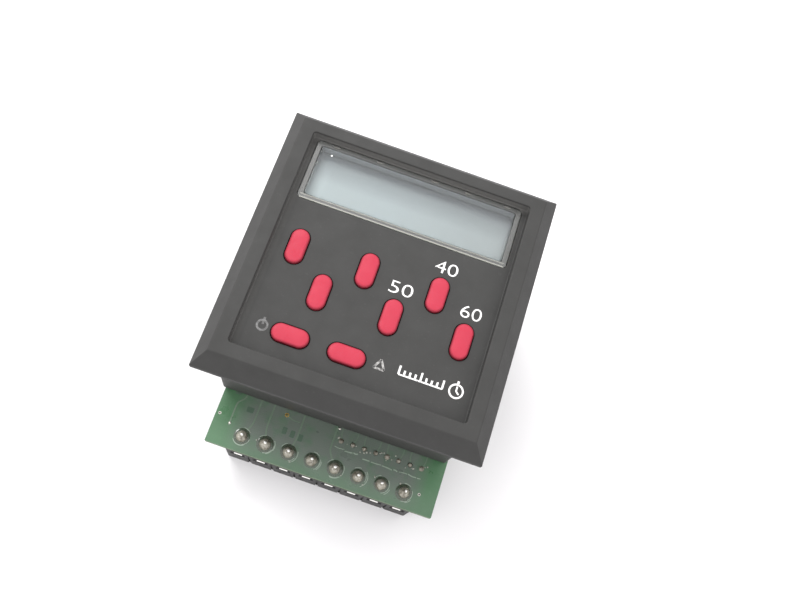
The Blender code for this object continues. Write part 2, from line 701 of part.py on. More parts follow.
def make_header():
    """Pin header on the rear board and its socket on the front board."""
    base_low = BOARD_FRONT_Z + GAP
    base_height = 2.5 * MM
    socket_top = FRONT_BOARD_REAR_Z - GAP
    socket_low = socket_top - 8.5 * MM
    post_reach, hole_depth = 5.0 * MM, 6.0 * MM
    post_width, hole_width = 0.64 * MM, 1.2 * MM
    length = HEADER_PINS * PIN_PITCH
    pin_xs = row_places(0, PIN_PITCH, HEADER_PINS)

    def base(bm):
        add_centred_box(bm, 0, HEADER_Y, length, HEADER_DEPTH, base_low, base_low + base_height)

    def posts(bm):
        for x in pin_xs:
            add_centred_box(bm, x, HEADER_Y, post_width, post_width, base_low + base_height / 2,
                            socket_low + post_reach)

    def block(bm):
        add_centred_box(bm, 0, HEADER_Y, length, HEADER_DEPTH, socket_low, socket_top)

    def holes(bm):
        for x in pin_xs:
            add_centred_box(bm, x, HEADER_Y, hole_width, hole_width, socket_low - PAST,
                            socket_low + hole_depth)

    header = solid("header_pins", base)
    join(header, "header_posts", posts)
    paint(header, CHIP_BLACK, 0.5)
    socket = solid("header_socket", block)
    cut(socket, "header_socket_holes", holes)
    paint(socket, CHIP_BLACK, 0.5)


def make_rear_electronics():
    """Relay, capacitor, regulator and optocoupler on the rear board."""
    top = BOARD_REAR_Z - GAP
    # name, x, y, length along x, width along y, height, corner, colour
    blocks = (("relay", 0.0, 20.5, 20.2, 10.0, 10.0, 0.5, CREAM),
              ("voltage_regulator", -17.0, 18.3, 7.0, 4.6, 8.0, 0.4, CHIP_BLACK),
              ("optocoupler", -9.6, -8.8, 8.8, 6.4, 3.6, 0.3, CHIP_BLACK))
    for name, x, y, length, width, height, corner, colour in blocks:
        block = solid(name, lambda bm: add_centred_box(bm, x * MM, y * MM, length * MM, width * MM,
                                                       top - height * MM, top, corner=corner * MM,
                                                       corner_steps=2))
        paint(block, colour, 0.5)

    can_height = 9.4
    can = [(0, can_height), (3.9, can_height), (4.0, 9.2), (4.0, 8.4), (3.8, 8.1), (4.0, 7.8),
           (4.0, 0.4), (3.6, 0.0), (0, 0.0)]
    capacitor = turned("supply_capacitor", [(radius * MM, z * MM) for radius, z in can],
                       (17.5 * MM, 19.0 * MM, top - can_height * MM), steps=20)
    paint(capacitor, SLEEVE_BLUE, 0.4)


make_bezel()
make_window()
make_keys()
make_keypad_mat()
make_display_board()
make_display()
make_front_electronics()
make_rear_case()
make_case_screws()
make_carrier_board()
make_terminal_block()
make_poles()
make_resistor_network()
make_header()
make_rear_electronics()
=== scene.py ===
import random
from math import cos, pi, radians, sin

import bmesh
import bpy
from mathutils import Matrix, Vector, noise


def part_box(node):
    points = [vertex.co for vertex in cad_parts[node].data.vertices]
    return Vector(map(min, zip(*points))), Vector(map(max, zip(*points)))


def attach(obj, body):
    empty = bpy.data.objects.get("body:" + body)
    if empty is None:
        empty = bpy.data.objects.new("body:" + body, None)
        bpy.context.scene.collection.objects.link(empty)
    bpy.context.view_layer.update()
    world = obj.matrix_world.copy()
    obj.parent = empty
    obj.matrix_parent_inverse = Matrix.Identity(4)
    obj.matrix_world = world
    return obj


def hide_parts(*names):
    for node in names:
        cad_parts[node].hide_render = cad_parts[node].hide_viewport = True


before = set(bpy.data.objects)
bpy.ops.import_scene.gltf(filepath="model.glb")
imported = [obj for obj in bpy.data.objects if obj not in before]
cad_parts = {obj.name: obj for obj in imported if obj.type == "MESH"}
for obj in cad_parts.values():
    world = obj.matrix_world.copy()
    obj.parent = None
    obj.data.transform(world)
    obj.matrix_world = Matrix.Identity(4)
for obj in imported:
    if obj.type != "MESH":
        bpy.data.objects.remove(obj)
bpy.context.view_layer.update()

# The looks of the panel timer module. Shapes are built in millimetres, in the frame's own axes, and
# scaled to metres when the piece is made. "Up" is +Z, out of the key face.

MM = 0.001
MODULE = "module"


def box_mm(node):
    """Lowest and highest corner of a CAD node, in millimetres."""
    low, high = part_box(node)
    return Vector(low) / MM, Vector(high) / MM


def middle_of(node):
    """Middle of a CAD node in plan, in millimetres."""
    low, high = box_mm(node)
    return (low.x + high.x) / 2, (low.y + high.y) / 2


# Places and sizes, read from the frame ----------------------------------------------------------

BEZEL_LOW, BEZEL_HIGH = box_mm("bezel")
BOARD_LOW, BOARD_HIGH = box_mm("carrier_board")
CASE_LOW, CASE_HIGH = box_mm("rear_case")
BLOCK_LOW, BLOCK_HIGH = box_mm("terminal_block")
WINDOW_LOW, WINDOW_HIGH = box_mm("window")
GLASS_LOW, GLASS_HIGH = box_mm("lcd_front_glass")
NETWORK_LOW, NETWORK_HIGH = box_mm("resistor_network")
KEYS = ["digit_key_%d" % n for n in range(1, 7)] + ["enter_key", "reset_key"]
POLES = range(1, 9)
CASE_SCREWS = range(1, 5)
SCREW_PLACES = [middle_of("case_screw_%d" % number) for number in CASE_SCREWS]
POLE_XS = [middle_of("wire_clamp_%d" % number)[0] for number in POLES]
PIN_Y = middle_of("wire_clamp_1")[1]
NETWORK_PITCH = (NETWORK_HIGH.x - NETWORK_LOW.x) / 8
NETWORK_XS = [NETWORK_LOW.x + NETWORK_PITCH * (index + 0.5) for index in range(8)]
NETWORK_Y = middle_of("resistor_network")[1]

FACE_Y = (BEZEL_LOW.y + BEZEL_HIGH.y) / 2       # the bezel's centre line
TOP_Z = BEZEL_HIGH.z
BOARD_TOP_Z = BOARD_HIGH.z
BOARD_REAR_Z = BOARD_LOW.z
CLAMP_TOP_Z = BOARD_REAR_Z - 0.6                # the clamp boxes end this far behind the board

# Bezel, window and key sizes that the CAD shares
LAND = 1.2
FRAME_RISE = 4.3
CHAMFER_IN = 2.8
RECESS_DEPTH = 2.0
FACE_THICKNESS = 1.2
RECESS_HALF = 22.5
RECESS_TOP = 22.9
POCKET_HALF = 25.1
OUTLINE_Z = TOP_Z - FRAME_RISE
FLANGE_BACK_Z = OUTLINE_Z - LAND
FACE_Z = TOP_Z - RECESS_DEPTH
FACE_REAR_Z = FACE_Z - FACE_THICKNESS
WINDOW_HALF = 21.45
WINDOW_BOTTOM = 9.4
WINDOW_TOP = 22.7
WINDOW_RIM = 1.25
KEY_FLANGE = 0.8
KEY_FLANGE_THICKNESS = 0.7

# Sizes of the drawn shapes
KEY_INSET = 0.12                                # the cap is this much slimmer than its CAD solid
KEY_CLEARANCE = 0.14                            # between a drawn cap and its opening
SCREW_HOLE = 1.4                                # radius of the holes for the long screws
CURVE_STEPS = 3                                 # faces to a small rounding
PAST = 1.0                                      # how far a cutter runs past what it opens
CUT, JOIN = "DIFFERENCE", "UNION"


# Shapes -----------------------------------------------------------------------------------------

def rounded_rectangle(low, high, radius, steps=4):
    """Points anticlockwise round a rectangle in plan, the same number whatever the radius."""
    points = []
    for side_x, side_y, start in ((1, 1, 0), (-1, 1, 90), (-1, -1, 180), (1, -1, 270)):
        x = high[0] - radius if side_x > 0 else low[0] + radius
        y = high[1] - radius if side_y > 0 else low[1] + radius
        for step in range(steps + 1):
            angle = radians(start + 90 * step / steps)
            points.append((x + radius * cos(angle), y + radius * sin(angle)))
    return points


def skin(bm, rings):
    """Skins closed rings of points from the first to the last and caps both ends."""
    loops = [[bm.verts.new(point) for point in ring] for ring in rings]
    count = len(loops[0])
    for lower, upper in zip(loops, loops[1:]):
        for index in range(count):
            after = (index + 1) % count
            bm.faces.new((lower[index], lower[after], upper[after], upper[index]))
    bm.faces.new(list(reversed(loops[0])))
    bm.faces.new(loops[-1])


def quarter(start, centre, end, steps):
    """Points on the quarter ellipse from start to end about a centre, both ends included."""
    start, centre, end = Vector(start), Vector(centre), Vector(end)
    return [tuple(centre + (start - centre) * cos(pi / 2 * step / steps)
                  + (end - centre) * sin(pi / 2 * step / steps)) for step in range(steps + 1)]


def block_profile(low_z, high_z, low_round, high_round, steps=CURVE_STEPS):
    """Profile of (inset, z) for a block whose lower and upper rims are rounded."""
    lower = quarter((low_round, low_z), (low_round, low_z + low_round), (0, low_z + low_round), steps)
    upper = quarter((0, high_z - high_round), (high_round, high_z - high_round),
                    (high_round, high_z), steps)
    return (lower if low_round else [(0, low_z)]) + (upper if high_round else [(0, high_z)])


def opening_profile(low_z, face_z, flare):
    """Profile of a cutter that opens a face upwards and rounds the face's rim by flare."""
    rim = quarter((0, face_z - flare), (-flare, face_z - flare), (-flare, face_z), CURVE_STEPS)
    return [(0, low_z)] + rim + [(-flare, face_z + PAST)]


def loft(bm, low, high, profile, corner=0.3, steps=4, keep_corner=False):
    """Adds a block with a rounded plan whose outline is inset up its height as profile says."""
    smallest = 0.02
    rings = []
    for inset, z in profile:
        half = min(high[0] - low[0], high[1] - low[1]) / 2 - inset
        radius = corner if keep_corner else max(corner - inset, smallest)
        outline = rounded_rectangle((low[0] + inset, low[1] + inset), (high[0] - inset, high[1] - inset),
                                    min(radius, half), steps)
        rings.append([(x, y, z) for x, y in outline])
    skin(bm, rings)


def block(bm, low, high, rounding, corner=None, steps=CURVE_STEPS):
    """Adds a block with rounded rims and upright edges."""
    loft(bm, low, high, block_profile(low[2], high[2], rounding, rounding, steps),
         corner=rounding if corner is None else corner, steps=steps)


def slab(bm, x, y, half_x, half_y, low_z, high_z, rounding, corner=None):
    """Adds a rounded block about a place in plan."""
    block(bm, (x - half_x, y - half_y, low_z), (x + half_x, y + half_y, high_z), rounding, corner)


def circle(x, y, radius, z, steps):
    """Points anticlockwise round a level circle."""
    return [(x + radius * cos(2 * pi * step / steps), y + radius * sin(2 * pi * step / steps), z)
            for step in range(steps)]


def lathe(bm, profile, x, y, steps=32, tilt=0.0):
    """Turns (radius, z) points, listed from bottom to top, about an axis.

    tilt leans the axis towards +X by this much for each millimetre of height.
    """
    foot = profile[0][1]
    skin(bm, [circle(x + tilt * (z - foot), y, radius, z, steps) for radius, z in profile])


def rod(bm, x, y, radius, low_z, high_z, steps=32):
    """Adds a plain cylinder."""
    lathe(bm, [(radius, low_z), (radius, high_z)], x, y, steps)


def ribbon(bm, points, width, low_z, high_z):
    """Adds a flat strip along a line of (x, y) points, mitred where it bends."""
    points = [Vector(point) for point in points]
    left, right = [], []
    for index, point in enumerate(points):
        before = points[max(index - 1, 0)]
        after = points[min(index + 1, len(points) - 1)]
        into = (point - before).normalized() if index else (after - point).normalized()
        out = (after - point).normalized() if index < len(points) - 1 else into
        along = (into + out).normalized()
        across = Vector((-along.y, along.x)) * (width / 2) / max(along.dot(into), 0.5)
        left.append(point + across)
        right.append(point - across)
    outline = right + list(reversed(left))
    lower = [bm.verts.new((x, y, low_z)) for x, y in outline]
    upper = [bm.verts.new((x, y, high_z)) for x, y in outline]
    count = len(points)
    for index in range(count - 1):
        a, b = index, index + 1
        c, d = 2 * count - 2 - index, 2 * count - 1 - index
        bm.faces.new((upper[a], upper[b], upper[c], upper[d]))
        bm.faces.new((lower[d], lower[c], lower[b], lower[a]))
    for index in range(2 * count):
        after = (index + 1) % (2 * count)
        bm.faces.new((lower[index], lower[after], upper[after], upper[index]))


def bent(points, cut):
    """Rounds the bends of a line of (x, y) points, starting this far before each."""
    points = [Vector(point) for point in points]
    path = [points[0]]
    for before, here, after in zip(points, points[1:], points[2:]):
        start = here + (before - here).normalized() * min(cut, (before - here).length / 2)
        end = here + (after - here).normalized() * min(cut, (after - here).length / 2)
        for step in range(CURVE_STEPS + 1):
            t = step / CURVE_STEPS
            path.append(start * (1 - t) ** 2 + here * 2 * t * (1 - t) + end * t * t)
    return path + [points[-1]]


def arc(x, y, radius, start, end, steps):
    """Points (x, y) along an arc, angles in degrees."""
    angles = [radians(start + (end - start) * step / steps) for step in range(steps + 1)]
    return [(x + radius * cos(angle), y + radius * sin(angle)) for angle in angles]


def washer(bm, x, y, inner, outer, low_z, high_z, steps=24):
    """Adds a flat ring."""
    section = (inner, low_z), (outer, low_z), (outer, high_z), (inner, high_z)
    rings = [[bm.verts.new(point) for point in circle(x, y, radius, z, steps)]
             for radius, z in section]
    for here, following in zip(rings, rings[1:] + rings[:1]):
        for step in range(steps):
            after = (step + 1) % steps
            bm.faces.new((here[step], here[after], following[after], following[step]))


# Making a piece ---------------------------------------------------------------------------------

def placed(name, data):
    """Makes an object and links it to the scene."""
    made = bpy.data.objects.new(name, data)
    bpy.context.scene.collection.objects.link(made)
    return made


def give_look(target, look):
    """Makes a material the only one of an object."""
    target.data.materials.clear()
    target.data.materials.append(look)


def raw_object(name, build):
    """Makes an object from a function that adds shapes in millimetres to a bmesh."""
    bm = bmesh.new()
    build(bm)
    same_place = 0.0005
    bmesh.ops.remove_doubles(bm, verts=bm.verts, dist=same_place)
    bmesh.ops.recalc_face_normals(bm, faces=bm.faces)
    bmesh.ops.scale(bm, vec=(MM, MM, MM), verts=bm.verts)
    mesh = bpy.data.meshes.new(name)
    bm.to_mesh(mesh)
    bm.free()
    return placed(name, mesh)


def settle(target):
    """Applies an object's modifiers to its mesh."""
    graph = bpy.context.evaluated_depsgraph_get()
    mesh = bpy.data.meshes.new_from_object(target.evaluated_get(graph))
    old = target.data
    target.modifiers.clear()
    target.data = mesh
    mesh.name = target.name
    bpy.data.meshes.remove(old)


def piece(name, build, look, body=MODULE, replaces=(), steps=(), sharp=35):
    """Builds one piece, applies its cuts and joins in turn, and rides it on its body.

    steps lists (CUT or JOIN, function) pairs. Edges that turn by more than sharp degrees stay crisp.
    """
    made = raw_object(name, build)
    tools = []
    for operation, shape in steps:
        tool = raw_object(name + "_tool", shape)
        step = made.modifiers.new(operation.lower(), "BOOLEAN")
        step.operation = operation
        step.solver = "EXACT"
        step.object = tool
        tools.append(tool)
    if tools:
        settle(made)
    for tool in tools:
        bpy.data.meshes.remove(tool.data)
    made.data.shade_smooth()
    made.data.set_sharp_from_angle(angle=radians(sharp))
    shading = made.modifiers.new("even_shading", "WEIGHTED_NORMAL")
    shading.keep_sharp = True
    give_look(made, look)
    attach(made, body)
    if replaces:
        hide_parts(*replaces)
    return made


# Materials --------------------------------------------------------------------------------------

class Look:
    """A procedural material built up in object space. Sizes and depths are in millimetres."""

    def __init__(self, name, colour, roughness, metallic=0.0, coat=0.0, coat_roughness=0.1):
        self.material = bpy.data.materials.new(name)
        self.material.use_nodes = True
        self.nodes = self.material.node_tree.nodes
        self.links = self.material.node_tree.links
        self.shader = self.nodes["Principled BSDF"]
        self.colour = (*colour, 1)
        self.height = None
        self.fill(self.shader, {"Base Color": self.colour, "Roughness": roughness, "Metallic": metallic,
                                "Coat Weight": coat, "Coat Roughness": coat_roughness})
        self.place = self.add("ShaderNodeTexCoord").outputs["Object"]

    def fill(self, node, sockets):
        """Sets a node's inputs to plain values, or links them to other nodes' outputs."""
        for name, value in sockets.items():
            if isinstance(value, bpy.types.NodeSocket):
                self.links.new(value, node.inputs[name])
            else:
                node.inputs[name].default_value = value

    def add(self, kind, sockets=None):
        """Adds a node and fills its inputs."""
        node = self.nodes.new(kind)
        self.fill(node, sockets or {})
        return node

    def noise(self, size, detail, stretch=(1, 1, 1)):
        """Cloudy values from 0 to 1 with features of about this size."""
        mapping = self.add("ShaderNodeMapping", {"Scale": stretch, "Vector": self.place})
        texture = self.add("ShaderNodeTexNoise", {"Scale": 1 / (size * MM), "Detail": detail,
                                                  "Roughness": 0.55, "Vector": mapping.outputs["Vector"]})
        return texture.outputs[0]

    def bands(self, size, direction):
        """Stripes of this width along an axis, from 0 to 1."""
        plain_repeat = 0.314        # a wave texture of scale 1 repeats this often
        texture = self.add("ShaderNodeTexWave", {"Scale": 1 / (size * MM) * plain_repeat,
                                                 "Distortion": 0.4, "Vector": self.place})
        texture.bands_direction = direction
        return texture.outputs["Fac"]

    def span(self, value, low, high, to_low=0.0, to_high=1.0):
        """Maps low..high to to_low..to_high, held at both ends."""
        node = self.add("ShaderNodeMapRange", {"From Min": low, "From Max": high, "To Min": to_low,
                                               "To Max": to_high, "Value": value})
        return node.outputs["Result"]

    def times(self, a, b):
        """The product of two values."""
        node = self.add("ShaderNodeMath")
        node.operation = "MULTIPLY"
        self.fill(node, {0: a, 1: b})
        return node.outputs[0]

    def height_along(self, axis, low, high):
        """0 at low and 1 at high along an axis ("X", "Y" or "Z"), in millimetres."""
        split = self.add("ShaderNodeSeparateXYZ", {0: self.place})
        return self.span(split.outputs[axis], low * MM, high * MM)

    def edges(self, radius):
        """About 1 along outer and inner edges, broken up by noise, and 0 on flats."""
        least, most = 0.03, 0.25    # how far the rounded normal leaves the true one
        bevel = self.add("ShaderNodeBevel", {"Radius": radius * MM})
        bevel.samples = 4
        true = self.add("ShaderNodeNewGeometry")
        dot = self.add("ShaderNodeVectorMath")
        dot.operation = "DOT_PRODUCT"
        self.fill(dot, {0: bevel.outputs["Normal"], 1: true.outputs["Normal"]})
        worn = self.span(dot.outputs["Value"], 1 - least, 1 - most)
        return self.times(worn, self.span(self.noise(1.3, 4), 0.35, 0.65, 0.25, 1.0))

    def tint(self, factor, colour, strength=1.0):
        """Mixes a colour in where factor is high."""
        node = self.add("ShaderNodeMix")
        node.data_type = "RGBA"
        factor_in, under_in, over_in, mixed_out = 0, 6, 7, 2        # its sockets for colours
        self.fill(node, {factor_in: self.times(factor, strength), under_in: self.colour,
                         over_in: (*colour, 1)})
        self.colour = node.outputs[mixed_out]
        self.fill(self.shader, {"Base Color": self.colour})

    def clouds(self, size, detail, low, high, colour, strength):
        """Mixes a colour in where cloudy noise of this size rises from low to high."""
        self.tint(self.span(self.noise(size, detail), low, high), colour, strength)

    def rough(self, size, detail, low, high):
        """Lets cloudy noise of this size drive the roughness between low and high."""
        self.fill(self.shader, {"Roughness": self.span(self.noise(size, detail), 0.3, 0.7, low, high)})

    def bump(self, value, depth):
        """Raises the surface where value is high."""
        node = self.add("ShaderNodeBump", {"Distance": depth * MM, "Height": value})
        if self.height is not None:
            self.fill(node, {"Normal": self.height})
        self.height = node.outputs["Normal"]
        self.fill(self.shader, {"Normal": self.height})


def scaled(colour, share, more=0.0):
    """A colour times share, plus more, held at white."""
    return tuple(min(1.0, channel * share + more) for channel in colour)


def recess_painted_light(look):
    """Painted light: lightens the recess's left and upper walls and the face along their feet, which the
    lamps leave in shade.
    """
    left, right = -RECESS_HALF, RECESS_HALF
    bottom, top = FACE_Y - RECESS_HALF, FACE_Y + RECESS_TOP
    past, soft = 0.2, 0.2           # how far it runs past the walls, and over what width it ends
    below_rim = look.height_along("Z", TOP_Z - 0.2, TOP_Z - 0.6)
    across = look.times(look.height_along("X", left - past - soft, left - past),
                        look.height_along("X", right + past + soft, right + past))
    along = look.times(look.height_along("Y", bottom - past - soft, bottom - past),
                       look.height_along("Y", top + past + soft, top + past))
    inside = look.times(below_rim, look.times(across, along))
    # painted light on the left wall and along its foot
    look.tint(look.times(inside, look.height_along("X", left + 1.5, left + 0.2)),
              (0.080, 0.078, 0.074), 0.7)
    # painted light on the upper wall and along its foot
    look.tint(look.times(inside, look.height_along("Y", top - 1.2, top - 0.2)),
              (0.105, 0.103, 0.098), 0.9)


def plastic(name, colour, roughness=0.5, grain=0.14, grain_depth=0.012, wear=0.5, dust=0.35,
            pale=None, extra=None):
    """Moulded plastic: spark grain, handling marks, dust in places and rubbed edges.

    extra is a function that adds more to the look.
    """
    look = Look(name, colour, roughness)
    pale = pale or scaled(colour, 1.5, 0.03)
    look.clouds(9, 4, 0.35, 0.75, scaled(colour, 0.86), 0.4)
    look.clouds(0.5, 6, 0.62, 0.74, pale, dust)
    if extra:
        extra(look)
    if wear:
        look.tint(look.edges(0.18), pale, wear)
    look.rough(5, 5, roughness - 0.04, roughness + 0.06)
    look.bump(look.noise(grain, 2), grain_depth)
    return look.material


def metal(name, colour, roughness, stretch=(1, 1, 1), tarnish=0.5):
    """Plated metal with fine marks and dull patches."""
    look = Look(name, colour, roughness, metallic=1.0)
    look.clouds(0.9, 5, 0.42, 0.7, scaled(colour, 0.55), tarnish)
    look.tint(look.edges(0.1), scaled(colour, 1.3), 0.6)
    look.rough(0.6, 4, roughness - 0.08, roughness + 0.16)
    look.bump(look.noise(0.16, 3, stretch), 0.01)
    return look.material


def board_mask(name, colour, lighter, weave=0.006, painted_shade_grey=0.0):
    """Solder mask over glass laminate: faint weave, cloudy colour, a gloss, and painted shade in its
    middle.

    painted_shade_grey greys the stretch between the board's two margins in patches, more so away from its
    lower edge: painted shade where the bezel and case shade the board.
    """
    look = Look(name, colour, 0.32, coat=0.6, coat_roughness=0.2)
    look.clouds(7, 4, 0.3, 0.75, scaled(colour, 0.75), 0.7)
    look.clouds(1.1, 5, 0.55, 0.8, lighter, 0.35)
    if painted_shade_grey:
        # painted shade: greys the middle of the board, where the bezel and case shade it
        from_left = look.height_along("X", BOARD_LOW.x + 3.0, BOARD_LOW.x + 7.5)
        from_right = look.height_along("X", BOARD_HIGH.x - 2.6, BOARD_HIGH.x - 6.5)
        from_edge = look.span(look.height_along("Y", BOARD_LOW.y + 0.5, BOARD_LOW.y + 5.0), 0, 1, 0.3, 1)
        shaded_middle = look.times(look.times(from_left, from_right), from_edge)
        look.tint(look.times(shaded_middle, look.span(look.noise(2.6, 5), 0.1, 0.5)),
                  (0.104, 0.125, 0.107), painted_shade_grey)
    look.rough(3, 5, 0.24, 0.5)
    cloth = look.times(look.bands(0.45, "X"), look.bands(0.45, "Y"))
    look.bump(cloth, weave)
    look.bump(look.noise(0.3, 3), 0.004)
    return look.material


def see_through(name, colour, share, roughness=0.08):
    """Clear moulded plastic: share of light passes straight on, and the rest is tinted body.

    The gloss on top follows Fresnel's law.
    """
    look = Look(name, colour, 0.5)
    look.rough(2.5, 4, 0.4, 0.6)
    look.bump(look.noise(0.8, 3), 0.004)
    clear = look.add("ShaderNodeBsdfTransparent", {"Color": (0.97, 0.985, 0.98, 1)})
    body = look.add("ShaderNodeMixShader", {0: 1 - share, 1: clear.outputs[0],
                                            2: look.shader.outputs[0]})
    gloss = look.add("ShaderNodeBsdfGlossy", {"Roughness": roughness, "Normal": look.height})
    fresnel = look.add("ShaderNodeFresnel", {"IOR": 1.45})
    top = look.add("ShaderNodeMixShader", {0: fresnel.outputs[0], 1: body.outputs[0],
                                           2: gloss.outputs[0]})
    look.fill(look.nodes["Material Output"], {"Surface": top.outputs[0]})
    return look.material


def key_red(name):
    """Pinkish red keycap: satin and a little translucent, with painted shade darkening its foot, so its
    crown reads paler.
    """
    look = Look(name, (0.378, 0.0225, 0.0470), 0.6)
    look.fill(look.shader, {"Specular IOR Level": 0.3, "Subsurface Weight": 0.12,
                            "Subsurface Radius": (0.0012, 0.0003, 0.0003)})
    look.clouds(2.4, 4, 0.35, 0.7, (0.398, 0.0255, 0.0525), 0.8)
    look.clouds(0.35, 5, 0.64, 0.75, (0.38, 0.03, 0.05), 0.25)
    # painted shade: the cap darkens towards its foot by the face, where the gap round it lies in shade
    foot = look.height_along("Z", FACE_Z + 0.64, FACE_Z + 0.24)
    look.tint(foot, (0.105, 0.006, 0.012), 0.85)
    look.rough(1.8, 4, 0.5, 0.7)
    look.bump(look.noise(0.16, 2), 0.008)
    return look.material


def screen_film(name):
    """Display polariser: pale grey with a blue cast and a very fine satin grain.

    Painted shade darkens it towards the right, and a painted shadow of the bezel's upper side darkens it
    along the top.
    """
    look = Look(name, (0.585, 0.648, 0.668), 0.42)
    look.clouds(14, 3, 0.3, 0.7, (0.560, 0.616, 0.655), 0.8)
    # painted shade: darker towards the right
    look.tint(look.height_along("X", -4, 24), (0.42, 0.432, 0.445), 0.65)
    # painted shadow of the bezel's upper side, along the top
    look.tint(look.height_along("Y", FACE_Y + 15.4, FACE_Y + 20.8), (0.165, 0.175, 0.205), 0.8)
    look.clouds(0.4, 5, 0.6, 0.75, (0.57, 0.61, 0.61), 0.3)
    look.rough(1.5, 4, 0.34, 0.5)
    look.bump(look.noise(0.09, 2), 0.002)
    return look.material


def solder(name, upper=0.0):
    """Dull tin-lead joint under old flux: beige body, brown patches and foot, varnish on top.

    upper darkens to brown the side of the large joints that faces the case: a painted reflection of the
    dark case above them.
    """
    look = Look(name, (0.270, 0.252, 0.205), 0.42, coat=0.5, coat_roughness=0.1)
    look.clouds(0.75, 4, 0.46, 0.56, (0.095, 0.080, 0.056), 0.85)
    look.clouds(1.3, 3, 0.50, 0.60, (0.36, 0.34, 0.285), 0.6)
    # painted reflection of the dark case, on the side of each joint that faces it
    look.tint(look.height_along("Y", PIN_Y + 0.4, PIN_Y + 1.2), (0.085, 0.073, 0.051), upper)
    look.tint(look.height_along("Z", BOARD_TOP_Z + 0.6, BOARD_TOP_Z + 0.1), (0.110, 0.096, 0.068), 0.6)
    look.rough(0.5, 4, 0.3, 0.5)
    look.bump(look.noise(0.42, 3), 0.09)
    return look.material


def flux(name):
    """Old flux round a joint: glossy olive varnish, uneven."""
    look = Look(name, (0.046, 0.056, 0.036), 0.2, coat=0.6)
    look.clouds(0.6, 4, 0.4, 0.7, (0.046, 0.078, 0.048), 0.9)
    look.rough(0.4, 3, 0.12, 0.4)
    look.bump(look.noise(0.4, 3), 0.03)
    return look.material


def white_print(name, worn, colour=(0.72, 0.71, 0.70)):
    """Printed white ink, thin and rubbed through in places to the black below."""
    look = Look(name, colour, 0.55)
    look.clouds(0.45, 5, 0.66 - worn * 0.45, 0.70 - worn * 0.2, (0.075, 0.073, 0.072), 0.95)
    look.rough(1.0, 4, 0.45, 0.65)
    look.bump(look.noise(0.2, 3), 0.006)
    return look.material


def laminate(name, colour):
    """Cut edge of a board, with its glass layers."""
    look = Look(name, colour, 0.6)
    look.tint(look.bands(0.2, "Z"), scaled(colour, 0.7), 0.7)
    look.clouds(0.5, 4, 0.4, 0.7, scaled(colour, 1.25), 0.5)
    look.bump(look.noise(0.15, 3), 0.02)
    return look.material


